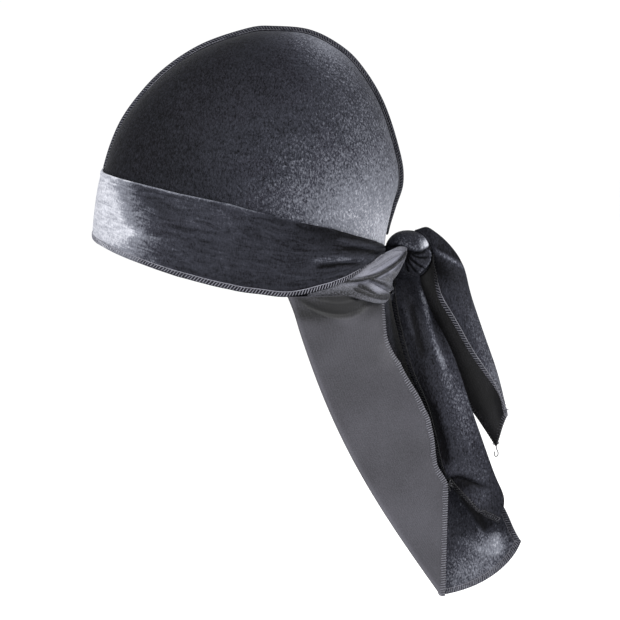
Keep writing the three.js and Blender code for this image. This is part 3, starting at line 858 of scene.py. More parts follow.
@dataclass(frozen=True)
class KnitGround:
    """Wrong side of the velvet: a smooth, flat tricot knit with a dull satin face."""

    name: str = "knit_ground"
    dark: str = "#101012"
    light: str = "#66656e"
    wale: float = 1.8
    cloud: float = 0.24
    ribs: float = 0.025
    grain: float = 0.3
    roughness: float = 0.55

    def material(self) -> bpy.types.Material:
        """Builds the node material.

        Returns:
            The material.
        """
        material, tree = new_material(self.name)
        coords = add_node(tree, "ShaderNodeTexCoord")
        # The lightness attribute carries painted highlights and shade, such as the flap's shadow under
        # the band, over the knit's own tone.
        tone_and_light = add_node(tree, "ShaderNodeAttribute", attribute_name="tone_and_light").outputs["Fac"]
        cloud = add_node(tree, "ShaderNodeTexNoise", {
            "Vector": coords.outputs["Object"], "Scale": 1 / (35 * MM), "Detail": 3.0}).outputs["Fac"]
        # Wales 1.8 mm apart: real ones are near 0.6 mm and are drawn coarser to show. The
        # wave texture multiplies its place by 20.
        wales = add_node(tree, "ShaderNodeTexWave", {
            "Vector": coords.outputs["UV"], "Scale": 2 * math.pi / (20 * self.wale * MM),
            "Distortion": 0.6, "Detail": 2.0, "Detail Scale": 3.0}, bands_direction="X").outputs["Fac"]
        grain = add_node(tree, "ShaderNodeTexNoise", {
            "Vector": coords.outputs["Object"], "Scale": 1 / (0.8 * MM), "Detail": 2.0}).outputs["Fac"]
        light = tone_and_light
        for source, weight in ((cloud, self.cloud), (wales, self.ribs), (grain, self.grain)):
            centred = add_node(tree, "ShaderNodeMath", {0: source, 1: -0.5},
                               operation="ADD").outputs[0]
            light = add_node(tree, "ShaderNodeMath", {0: centred, 1: weight, 2: light},
                             operation="MULTIPLY_ADD").outputs[0]
        ramp = add_node(tree, "ShaderNodeValToRGB", {"Fac": light})
        ramp.color_ramp.elements[0].color = srgb(self.dark)
        ramp.color_ramp.elements[1].color = srgb(self.light)
        rib = add_node(tree, "ShaderNodeBump", {"Height": wales, "Strength": 0.1,
                                                "Distance": 0.2 * MM}).outputs[0]
        fine = add_node(tree, "ShaderNodeBump", {"Height": grain, "Strength": 0.25,
                                                 "Distance": 0.15 * MM, "Normal": rib}).outputs[0]
        shader = add_node(tree, "ShaderNodeBsdfPrincipled", {
            "Base Color": ramp.outputs["Color"], "Roughness": self.roughness, "Normal": fine,
            "Specular IOR Level": 0.2, "Sheen Weight": 0.03, "Sheen Roughness": 0.4,
            "Sheen Tint": srgb("#c8cad4")})
        add_node(tree, "ShaderNodeOutputMaterial", {"Surface": shader.outputs[0]})
        return material


@dataclass(frozen=True)
class SpunThread:
    """Bulked nylon overlock thread: fuzzy, slightly glossy, a shade lighter than the cloth."""

    name: str = "overlock_thread"
    dark: str = "#0d0d10"
    light: str = "#85858f"
    mottle: float = 0.8

    def material(self) -> bpy.types.Material:
        """Builds the node material.

        Returns:
            The material.
        """
        material, tree = new_material(self.name)
        place = add_node(tree, "ShaderNodeTexCoord").outputs["Object"]
        # The lightness attribute paints light and shade along the thread, over its own colour.
        tone = add_node(tree, "ShaderNodeAttribute", attribute_name="tone_and_light").outputs["Fac"]
        twist = add_node(tree, "ShaderNodeTexNoise", {"Vector": place, "Scale": 1 / (1.6 * MM),
                                                      "Detail": 2.0}).outputs["Fac"]
        centred = add_node(tree, "ShaderNodeMath", {0: twist, 1: -0.5}, operation="ADD").outputs[0]
        light = add_node(tree, "ShaderNodeMath", {0: centred, 1: self.mottle, 2: tone},
                         operation="MULTIPLY_ADD").outputs[0]
        ramp = add_node(tree, "ShaderNodeValToRGB", {"Fac": light})
        ramp.color_ramp.elements[0].color = srgb(self.dark)
        ramp.color_ramp.elements[1].color = srgb(self.light)
        bump = add_node(tree, "ShaderNodeBump", {"Height": twist, "Strength": 0.4,
                                                 "Distance": 0.1 * MM}).outputs[0]
        shader = add_node(tree, "ShaderNodeBsdfPrincipled", {
            "Base Color": ramp.outputs["Color"], "Roughness": 0.6, "Normal": bump,
            "Specular IOR Level": 0.15, "Sheen Weight": 0.08, "Sheen Roughness": 0.4})
        add_node(tree, "ShaderNodeOutputMaterial", {"Surface": shader.outputs[0]})
        return material


@dataclass(frozen=True)
class MattePaper:
    """Seamless studio paper: matte and pale."""

    name: str = "studio_paper"
    colour: str = "#fdfdfd"

    def material(self) -> bpy.types.Material:
        """Builds the node material.

        Returns:
            The material.
        """
        material, tree = new_material(self.name)
        shader = add_node(tree, "ShaderNodeBsdfPrincipled", {"Base Color": srgb(self.colour),
                                                             "Roughness": 0.95})
        add_node(tree, "ShaderNodeOutputMaterial", {"Surface": shader.outputs[0]})
        return material


@dataclass
class Wardrobe:
    """The finishes that the pieces share."""

    velvet: bpy.types.Material = field(default_factory=lambda: CrushedVelvet().material())
    pressed: bpy.types.Material = field(default_factory=lambda: CrushedVelvet(
        "pressed_velvet", streak=0.42, tuft=0.4, crackle=0.1, crepe=0.08).material())
    ground: bpy.types.Material = field(default_factory=lambda: KnitGround().material())
    # A lighter copy of the knit ground for the ties, so that their painted highlights can reach a
    # brighter grey.
    tie_ground_highlit: bpy.types.Material = field(default_factory=lambda: KnitGround(
        "highlit_tie_ground", light="#878894", grain=0.7).material())
    thread: bpy.types.Material = field(default_factory=lambda: SpunThread().material())


def keep(piece: bpy.types.Object, slot: str, *nodes: str) -> None:
    """Rides a piece on the durag's body and hides the solids that it stands for.

    Args:
        piece: The piece.
        slot: Material slot of the record that it takes its finish from; not used.
        nodes: Solids that it stands for.
    """
    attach(piece, BODY)
    if nodes:
        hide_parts(*nodes)
    log.info("%s: %d faces", piece.name, len(piece.data.polygons))


# Pieces.


@dataclass
class Crown:
    """Two velvet panels and the seam allowance that stands up between them."""

    form: DuragForm
    wardrobe: Wardrobe
    rows: int = 150
    columns: int = 64
    rim_corner_turn: float = 10.0
    seam_stand: float = 2.5
    seam_front: float = 0.4
    seam_rear: float = 0.3
    seam_tuck: float = 2.0
    seam_thickness: float = 1.7
    seam_light: float = 0.25
    seam_rows: int = 220
    seam_steps: int = 6
    seam_sway: float = 0.35
    seam_waves: float = 60.0
    # Painted sheen on the seam's thread, lighter towards the brow.
    seam_tones: Pairs = ((0.0, 0.7), (0.2, 0.6), (0.45, 0.36), (1.0, 0.34))
    base: float = 0.035
    inner_light: float = 0.4
    # Painted sheen over the crushed pile's tone: lighter patches towards the back and low down, where
    # light catches the lying pile.
    patches: tuple[ToneAndLightPatch, ...] = (
        ToneAndLightPatch(106, 4, 56, 38, 0.62),
        ToneAndLightPatch(98, 75, 32, 60, 0.3),
        ToneAndLightPatch(64, 38, 42, 34, 0.24),
        ToneAndLightPatch(48, 146, 36, 15, 0.5, -32),
        ToneAndLightPatch(62, 112, 30, 24, 0.12, -40),
        ToneAndLightPatch(32, 62, 55, 55, 0.28),
        ToneAndLightPatch(-50, 40, 34, 10, 0.06, -12),
    )

    def arch_turn(self, place: np.ndarray) -> float:
        """Angle of a middle-line point.

        Args:
            place: The point.

        Returns:
            The angle up from the brow and over to the nape.
        """
        turn = math.atan2(place[2], -place[1])
        return turn + 2 * math.pi if turn < -math.pi / 2 else turn

    def panel(self, side: Side) -> np.ndarray:
        """Middle surface of a panel.

        Args:
            side: Side of the wearer.

        Returns:
            Grid of points, from brow to nape and from the seam down to the rim.
        """
        head, form = self.form.head, self.form
        along, down = shares(self.rows, self.columns)
        ends = [self.arch_turn(head.at(t, form.rim_rise(t), 0.0)) for t in (0.0, 180.0)]
        turn = mix(ends[0], ends[1], along)
        seam = points(0.0, -np.cos(turn), np.sin(turn))
        rim_turn = mix(self.rim_corner_turn, 180 - self.rim_corner_turn, along)
        rim = unit(head.at(rim_turn, form.rim_rise(rim_turn), 0.0))
        spread = np.arccos(np.clip((seam * rim).sum(-1), -1, 1))
        ray = seam * np.sin((1 - down) * spread)[..., None] + rim * np.sin(down * spread)[..., None]
        middle = head.over(unit(ray), -form.wall / 2)
        middle[..., 0] += form.clearance / 2 * (1 - down)
        middle[..., 0] *= side.value
        return middle[:, ::-1] if side is Side.LEFT else middle

    def build(self) -> None:
        """Builds both panels and the centre seam."""
        form, dress = self.form, self.wardrobe
        trim = self.seam()
        for side in Side:
            middle = self.panel(side)
            tone_and_light = tone_and_light_at(middle, self.base, self.patches)
            name = f"crown_{side.name.lower()}"
            panel = cloth_piece(name, middle, form.wall, (tone_and_light, self.inner_light),
                                (dress.velvet, dress.ground))
            keep(panel, "velvet_face", f"crown_panel_{side.name.lower()}")

    def seam(self) -> tuple[bpy.types.Object, bpy.types.Object]:
        """Builds the standing seam allowance and its overlock thread.

        Returns:
            The seam allowance and its thread.
        """
        form, head, rows = self.form, self.form.head, self.seam_rows
        front = self.arch_turn(head.at(0.0, form.band_top(0.0) + 2 * form.clearance, 0.0))
        top = form.knot_centre[2] + form.knot_size[2] / 2 - self.seam_tuck
        rear = self.arch_turn(head.at(180.0, top, 0.0))
        along = np.linspace(0, 1, rows)
        turn = mix(front, rear, along)
        ray = points(0.0, -np.cos(turn), np.sin(turn))
        stand = self.seam_stand * mix(self.seam_front, 1.0, smooth(along, 0.02, 0.3))
        stand = stand * mix(1.0, self.seam_rear, smooth(along, 0.88, 1.0))
        low = head.over(ray, np.full(rows, form.clearance))
        high = head.over(ray, form.clearance + stand)
        rise = np.linspace(0, 1, self.seam_steps)
        middle = low[:, None] + (high - low)[:, None] * rise[None, :, None]
        middle[..., 0] = self.seam_sway * np.sin(along * self.seam_waves)[:, None] * rise[None, :]
        fin = cloth_piece("seam_allowance", middle, self.seam_thickness,
                          (self.seam_light, self.seam_light),
                          (self.wardrobe.velvet, self.wardrobe.velvet))
        keep(fin, "velvet_face", "centre_seam")
        line = EdgeLine(middle[:, -1], unit(low - high), np.tile([1.0, 0, 0], (rows, 1)))
        whip = Overlock(width=2.2, pitch=1.9, thread=0.2).piece(
            "seam_overlock", line, self.seam_thickness, self.wardrobe.thread, self.seam_tones)
        keep(whip, "velvet_face")
        return fin, whip


@dataclass
class BrowBand:
    """Band round the brow and the sides, gathered to a point at each end."""

    form: DuragForm
    wardrobe: Wardrobe
    rows: int = 420
    columns: int = 48
    loft: float = 0.8
    pleat_depth: float = 1.6
    pleat_count: int = 3
    gather_turn: float = 118.0
    top_roll: float = 0.7
    roll_place: float = 0.97
    roll_width: float = 0.03
    ripple: float = 0.3
    ripple_rates: tuple[float, float] = (0.21, 0.083)
    base: float = 0.2
    # Painted shading of the folds per millimetre of height, a painted highlight along the folded top edge
    # and painted shade along the lower edge; lightest caps the painted highlights.
    fold_shading: float = 0.2
    top_edge_highlight: float = 0.34
    lower_edge_shade: float = 0.08
    lightest: float = 0.82
    inner_light: float = 0.4
    # Painted light along the band's thread, lighter towards the wearer's left end.
    tones: Pairs = ((0.0, 0.4), (1.0, 0.62))
    folds: tuple[Fold, ...] = (
        Fold(((40.2, 5.3), (49.6, 6.9), (59.0, 7.2), (68.5, 6.1), (78.2, 6.0), (85.6, 6.6)),
             1.3, 1.7),
        Fold(((45.0, 2.0), (55.8, 3.4), (65.3, 4.0), (75.0, 3.0)), -1.1, 1.6),
        Fold(((62.1, 13.4), (71.7, 12.9), (81.5, 10.9), (88.3, 8.7)), -1.2, 1.6),
        Fold(((59.0, 19.2), (68.5, 16.9), (78.2, 13.8), (88.2, 10.3)), 1.0, 1.8),
    )
    # Painted sheen over the pile's tone: the front silvery where light grazes the pile, with darker
    # patches further back.
    patches: tuple[ToneAndLightPatch, ...] = (
        ToneAndLightPatch(-102, 48, 34, 60, 0.78),
        ToneAndLightPatch(-80, 29, 24, 12, 0.26, -38),
        ToneAndLightPatch(-72, 10, 36, 9, 0.2, -18),
        ToneAndLightPatch(-54, 43, 18, 6, -0.18, -40),
        ToneAndLightPatch(-64, 22, 26, 3, 0.16, -16),
        ToneAndLightPatch(-14, 34, 60, 9, 0.08, -12),
        ToneAndLightPatch(62, 24, 44, 14, -0.2, -10),
    )

    def middle(self) -> np.ndarray:
        """Middle surface of the band.

        Returns:
            Grid of points, from the right end round to the left and from the edge up.
        """
        form = self.form
        along, up = shares(self.rows, self.columns)
        turn = mix(-form.band_end, form.band_end, along)
        gather = smooth(np.abs(turn), self.gather_turn, form.band_end) * self.pleat_depth
        pleat = gather * (0.5 - 0.5 * np.cos(up * self.pleat_count * 2 * math.pi))
        roll = self.top_roll * np.exp(-(((up - self.roll_place) / self.roll_width) ** 2))
        first, second = self.ripple_rates
        ripple = self.ripple * np.sin(turn * first) * np.sin(turn * second + 4 * up)
        loft = self.loft * np.sin(up * math.pi) + pleat + roll + ripple
        rise = mix(form.band_edge(turn), form.band_top(turn), up)
        out = form.clearance + loft + form.wall / 2
        flat = form.head.at(turn, rise, out)
        relief = sum(fold.relief(flat[..., 1], flat[..., 2]) for fold in self.folds)
        return form.head.at(turn, rise, np.maximum(out + relief, form.clearance + form.wall / 2))

    def build(self) -> None:
        """Builds the band and the overlock thread along its lower edge."""
        form, dress = self.form, self.wardrobe
        middle = self.middle()
        up = np.linspace(0, 1, self.columns)
        # Painted highlight along the folded top edge, strongest at the front, and painted shade towards
        # the lower edge.
        front = 1 - smooth(middle[..., 1], -30.0, 60.0)
        crest = self.top_edge_highlight * front * smooth(up, 0.975, 1.0)
        low = self.lower_edge_shade * (1 - smooth(up, 0.0, 0.3))
        tone_and_light = tone_and_light_at(middle, self.base + crest - low, self.patches, self.folds, self.fold_shading)
        tone_and_light = np.minimum(tone_and_light, self.lightest)
        band = cloth_piece("brow_band_velvet", middle, form.wall, (tone_and_light, self.inner_light),
                           (dress.pressed, dress.ground))
        keep(band, "velvet_face", "brow_band")
        lower_edge = EdgeLine.of_grid(middle, np.arange(self.rows) * self.columns)
        whip = Overlock().piece("band_overlock", lower_edge, form.wall, dress.thread, self.tones)
        keep(whip, "velvet_face")


@dataclass
class Knot:
    """Knotted middle of both ties: a roll over a fan of pleats."""

    form: DuragForm
    wardrobe: Wardrobe
    fullness: float = 2.2
    rings: int = 170
    sides: int = 240
    base: float = 0.16
    # Painted shading of the roll and the pleats: raised parts lighter, grooves darker.
    relief_shading: float = 0.22
    folds: tuple[Fold, ...] = (
        Fold(((92.0, 11.0), (100.3, 11.0), (104.9, 9.7), (108.9, 8.4), (112.8, 7.4), (116.7, 7.7),
              (120.7, 9.7), (125.0, 12.5)), -2.2, 1.1, 1.5, 7.0),
        Fold(((114.0, 20.0), (115.4, 14.3), (116.1, 8.0)), 0.6, 0.8),
        Fold(((116.6, 18.6), (119.3, 13.6), (120.4, 8.4)), 0.7, 0.8),
        Fold(((104.9, 8.4), (109.5, 6.4), (113.5, 4.4), (118.1, 3.5), (124.0, 4.0)), -1.3, 0.7),
        Fold(((105.9, 8.4), (108.9, 3.8), (112.2, 0.8), (116.2, -2.1), (119.5, -3.4)), -1.4, 0.75),
        Fold(((105.9, 8.4), (107.6, 1.8), (109.6, -1.5), (112.2, -4.8), (114.6, -7.4)), -1.3, 0.7),
        Fold(((105.0, 8.0), (106.3, -0.2), (107.3, -4.1), (108.6, -7.6)), -1.2, 0.8),
        Fold(((119.0, 11.0), (122.3, 6.4), (122.0, 2.5), (120.1, -0.8), (116.8, -4.1),
              (112.6, -8.4)), 1.3, 0.8),
        Fold(((101.0, -3.0), (106.3, -7.1), (109.0, -7.7), (111.6, -9.0), (114.0, -13.0)), 1.0, 0.8),
    )
    # Painted highlight on the roll's right end, with two faint lighter patches.
    patches: tuple[ToneAndLightPatch, ...] = (
        ToneAndLightPatch(118.4, 12.6, 3.0, 4.0, 0.46),
        ToneAndLightPatch(111.0, 17.0, 6.0, 2.6, 0.1),
        ToneAndLightPatch(116.0, 0.0, 6.0, 6.0, 0.06),
    )

    def reach(self, ray: np.ndarray) -> np.ndarray:
        """Radius of the knot's plain form in unit directions."""
        half = np.array(self.form.knot_size) / 2
        return ((np.abs(ray) / half) ** self.fullness).sum(-1) ** (-1 / self.fullness)

    def at(self, ray: np.ndarray, out: Numbers) -> np.ndarray:
        """Points over the knot's plain form in directions from its centre."""
        ray = unit(np.asarray(ray, float))
        return self.form.knot_centre + ray * (self.reach(ray) + out)[..., None]

    def keep_off(self, place: np.ndarray, distance: Numbers) -> np.ndarray:
        """Points moved out to a distance from the knot where they lie closer.

        Args:
            place: The points.
            distance: Least distance from the knot's plain form.

        Returns:
            The moved points.
        """
        ray = place - self.form.knot_centre
        away = np.linalg.norm(ray, axis=-1)
        least = self.reach(unit(ray)) + distance
        return self.form.knot_centre + unit(ray) * np.maximum(away, least)[..., None]

    def relief(self, place: np.ndarray) -> np.ndarray:
        """Height of the roll and the pleats over the plain form."""
        height = sum(f.relief(place[..., 1], place[..., 2]) for f in self.folds)
        return height * smooth(np.abs(place[..., 0]), 2.0, 9.0)

    def build(self) -> None:
        """Builds the knot."""
        tilt = np.linspace(0, math.pi, self.rings + 1)[1:-1]
        turn = np.linspace(0, 2 * math.pi, self.sides, endpoint=False)
        tilt, turn = np.meshgrid(tilt, turn, indexing="ij")
        rays = points(np.sin(tilt) * np.cos(turn), -np.cos(tilt), np.sin(tilt) * np.sin(turn))
        rays = np.concatenate([[[0, -1.0, 0]], rays.reshape(-1, 3), [[0, 1.0, 0]]])
        plain = self.at(rays, 0.0)
        relief = self.relief(plain)
        place = self.at(rays, relief)
        ids = 1 + np.arange((self.rings - 1) * self.sides).reshape(self.rings - 1, self.sides)
        ahead = np.roll(ids, -1, axis=1)
        front = [[0, b, a] for a, b in zip(ids[0].tolist(), ahead[0].tolist())]
        end = [[len(rays) - 1, a, b] for a, b in zip(ids[-1].tolist(), ahead[-1].tolist())]
        faces = [face[::-1] for face in tube_walls(ids) + front + end]
        # Painted shading: raised parts of the relief lighter, grooves darker.
        tone_and_light = tone_and_light_at(plain, self.base, self.patches) + self.relief_shading * relief
        tone_and_light = np.clip(tone_and_light, 0, 1)
        knot = mesh_object("knot_velvet", place, faces, tone_and_light, place[:, 1:] * MM)
        knot.data.materials.append(self.wardrobe.velvet)
        keep(knot, "velvet_face", "knot")


@dataclass
class Ties:
    """Ties from the band's gathered ends to the knot, wrong side out."""

    form: DuragForm
    wardrobe: Wardrobe
    knot: Knot
    rows: int = 150
    columns: int = 70
    wall: float = 1.1
    drop: float = 20.0
    loft: float = 7.0
    pleat_depth: float = 1.4
    leaf_rise: float = 3.0
    leaf_place: float = 0.94
    leaf_size: tuple[float, float] = (0.075, 0.3)
    knot_gap: float = 0.8
    base: float = 0.19
    fold_shading: float = 0.3
    inner_light: float = 0.2
    end: Sections = Sections(("down", "side", "back", "up"), (
        (0, 17.4, 106.6, 8.7), (0.2, 18.4, 105.8, 3.9), (0.4, 20, 103.2, -1.2),
        (0.58, 23.5, 100.1, -6.2), (0.7, 27, 96.7, -10.4), (0.8, 29, 95.3, -14.1),
        (0.9, 30, 96, -18.1), (1, 30.5, 96.4, -22.4)))
    sections: Sections = Sections(("turn", "low", "lift", "reach"), (
        (120, -0.82, 0.0, 0), (130, -0.79, 0.1, 0), (137, -0.8, 0.5, 0), (144, -0.92, 1.0, 0),
        (151, -1.02, 1.2, 0), (157, -0.98, 1.3, 0.02), (160, -0.5, 1.2, 0.12),
        (164, 0, 0.9, 0.55), (168, 0.1, 0.6, 1)))
    folds: tuple[Fold, ...] = (
        Fold(((55.0, -8.6), (65.4, -7.0), (73.1, -6.7), (83.7, -5.2), (90.4, -3.3), (97.5, -0.2),
              (103.3, 4.2), (109.0, 11.5)), -2.4, 0.75, 2.0, 6.0),
        Fold(((84.3, 2.0), (89.7, 6.0), (95.2, 8.7), (100.7, 9.1), (104.8, 7.9)), 0.8, 0.6),
        Fold(((80.0, -2.4), (88.4, 0.9), (94.5, 3.9), (103.0, 7.6)), -0.8, 0.6),
        Fold(((60.0, -9.9), (75.1, -9.2), (85.0, -7.7), (92.5, -5.3), (99.4, -2.2), (105.6, 4.4)),
             1.6, 1.2),
        Fold(((80.4, -6.8), (84.4, -8.0), (89.6, -10.7), (92.5, -12.8), (95.3, -14.6),
              (99.5, -17.2)), -3.2, 0.85),
        Fold(((81.0, -7.6), (88.4, -11.9), (92.5, -14.7), (95.3, -17.0), (98.0, -19.0)), 2.2, 0.9),
        Fold(((72.0, -9.4), (78.4, -12.1), (83.9, -15.4), (87.9, -17.6), (96.0, -19.6)), -2.2, 1.0),
        Fold(((69.9, -11.8), (75.1, -14.0), (81.7, -17.0), (88.5, -19.4), (95.3, -20.6)), -1.0, 0.8),
    )
    # Painted highlights on the tie's ridges and painted shade along a fold.
    patches: tuple[ToneAndLightPatch, ...] = (
        ToneAndLightPatch(94, 5, 9, 4, 0.14, 35),
        ToneAndLightPatch(86, -14, 6, 3, 0.4, -25),
        ToneAndLightPatch(62, -16, 14, 3, -0.15),
    )

    def middle(self) -> np.ndarray:
        """Middle surface of the left tie.

        Returns:
            Grid of points, towards the knot and down.
        """
        form = self.form
        along, down = shares(self.rows, self.columns)
        turn = mix(self.sections.rows[0][0], self.sections.rows[-1][0], along)
        top = form.band_edge(np.minimum(turn, form.band_end)) - form.clearance * 3
        low = self.drop * self.sections.read("low", turn)
        stand = self.loft * self.sections.read("lift", turn) * down
        pleat = 0.5 - 0.5 * np.cos(down * 4 * math.pi)
        crease = 0.5 * self.pleat_depth * smooth(along, 0.25, 0.6) * pleat
        out = form.clearance + form.wall / 2 + stand + crease
        on_head = form.head.at(turn, mix(top, low, down), out)
        end = points(*(self.end.read(name, down) for name in ("side", "back", "up")))
        middle = mix(on_head, end, self.sections.read("reach", turn)[..., None])
        long, tall = self.leaf_size
        leaf = np.exp(-((down / tall) ** 2) - ((along - self.leaf_place) / long) ** 2)
        middle[..., 2] += self.leaf_rise * leaf
        relief = sum(f.relief(middle[..., 1], middle[..., 2]) for f in self.folds)
        relief = relief * smooth(along, 0.02, 0.2)
        return self.knot.keep_off(lift(middle, relief), self.knot_gap)

    def build(self) -> None:
        """Builds both ties."""
        dress = self.wardrobe
        left = self.middle()
        for side in Side:
            middle = left * np.array([side.value, 1, 1])
            middle = middle[:, ::-1] if side is Side.LEFT else middle
            # Painted shading of the tie's folds, with the patches' painted highlights and shade.
            tone_and_light = tone_and_light_at(middle, self.base, self.patches, self.folds, self.fold_shading)
            name = f"{side.name.lower()}_tie"
            tie = cloth_piece(f"{name}_cloth", middle, self.wall, (tone_and_light, self.inner_light),
                              (dress.tie_ground_highlit, dress.velvet))
            keep(tie, "wrong_side", name)


class TailKind(Enum):
    """The two tie ends that leave the knot."""

    UPPER = "upper_tail"
    LOWER = "lower_tail"


@dataclass
class TieEnd:
    """A tie end: a strip folded lengthwise, from the knot to its free end."""

    form: DuragForm
    wardrobe: Wardrobe
    knot: Knot
    kind: TailKind
    sections: Sections
    length: float
    spread: float
    out: float
    fold_share: float
    seats: dict[str, tuple[float, float, float]]
    flat: tuple[float, float]
    folds: tuple[Fold, ...]
    patches: tuple[ToneAndLightPatch, ...]
    base: float
    tones: Pairs
    loose: tuple[Pairs, ...] = ()
    wall: float = 1.3
    whip_width: float = 2.8
    knot_gap: tuple[float, float] = (0.2, 1.3)
    rows: int = 200
    columns: int = 90
    pleat_depth: float = 2.0
    tip_pleat: float = 0.6
    start_share: float = 0.35
    relax: int = 40

    def line(self, part: str, side: float, along: np.ndarray) -> np.ndarray:
        """One lengthwise line of the strip.

        Args:
            part: "edge", "fold" or "far".
            side: Share of the spread to its side.
            along: Shares of the way from the knot.

        Returns:
            Points of the line.
        """
        first = 1 / (len(self.sections.rows) + 1)
        share = np.clip((along - first) / (1 - first), 0, 1)
        opened = self.spread * mix(self.start_share, 1.0, smooth(along, 0, 0.45))
        centre = self.form.knot_centre
        free = points(self.out * smooth(along, 0, 0.4) + side * opened,
                      centre[1] + self.length * self.sections.even(f"{part}_back", share),
                      centre[2] - self.length * self.sections.even(f"{part}_drop", share))
        start = self.knot.at(self.seats[part], self.form.clearance)
        line = mix(start, free, np.minimum(1, along / first)[..., None])
        for _ in range(self.relax):
            line[1:-1] = (line[:-2] + 2 * line[1:-1] + line[2:]) / 4
        return line

    def middle(self) -> np.ndarray:
        """Middle surface of the strip.

        Returns:
            Grid of points, from the knot down and from the near edge across.
        """
        along, across = shares(self.rows, self.columns)
        edge, fold = self.line("edge", 0.5, along), self.line("fold", 0.0, along)
        far = self.line("far", -0.5, along)
        near = across < self.fold_share
        beyond = (across - self.fold_share) / (1 - self.fold_share)
        share = np.where(near, across / self.fold_share, beyond)
        bend = np.where(near, 1 - np.cos(share * math.pi / 2), np.sin(share * math.pi / 2))
        start, end = np.where(near[..., None], edge, fold), np.where(near[..., None], fold, far)
        place = mix(start, end, share[..., None])
        wave = np.sin(across * 3 * math.pi) * smooth(along, 0.05, 0.3)
        place[..., 0] = mix(start[..., 0], end[..., 0], bend)
        place[..., 0] += self.pleat_depth * wave * mix(1.0, self.tip_pleat, along)
        relief = sum(f.relief(place[..., 1], place[..., 2]) for f in self.folds)
        place[..., 0] += relief * (1 - smooth(across, self.fold_share, self.fold_share + 0.08))
        return self.knot.keep_off(place, mix(*self.knot_gap, smooth(along, 0.0, 0.08)))

    def build(self) -> None:
        """Builds the tie end and the overlock thread round its edges."""
        dress, name = self.wardrobe, self.kind.value
        middle = self.middle()
        # Painted shading of the folds, ridges lighter and grooves darker, with the patches' painted light
        # and shade.
        tone_and_light = tone_and_light_at(middle, self.base, self.patches, self.folds)
        tail = cloth_piece(f"{name}_velvet", middle, self.wall, (tone_and_light, 0.0),
                           (dress.velvet, dress.ground))
        keep(tail, "velvet_face", name)
        line = EdgeLine.of_grid(middle, open_border(self.rows, self.columns))
        tip = middle[-1, middle[-1, :, 2].argmin()]
        loose = tuple(loose_end(tip, bends) for bends in self.loose)
        whip = Overlock(width=self.whip_width).piece(
            f"{name}_overlock", line, self.wall, dress.thread, self.tones, loose)
        keep(whip, "velvet_face")


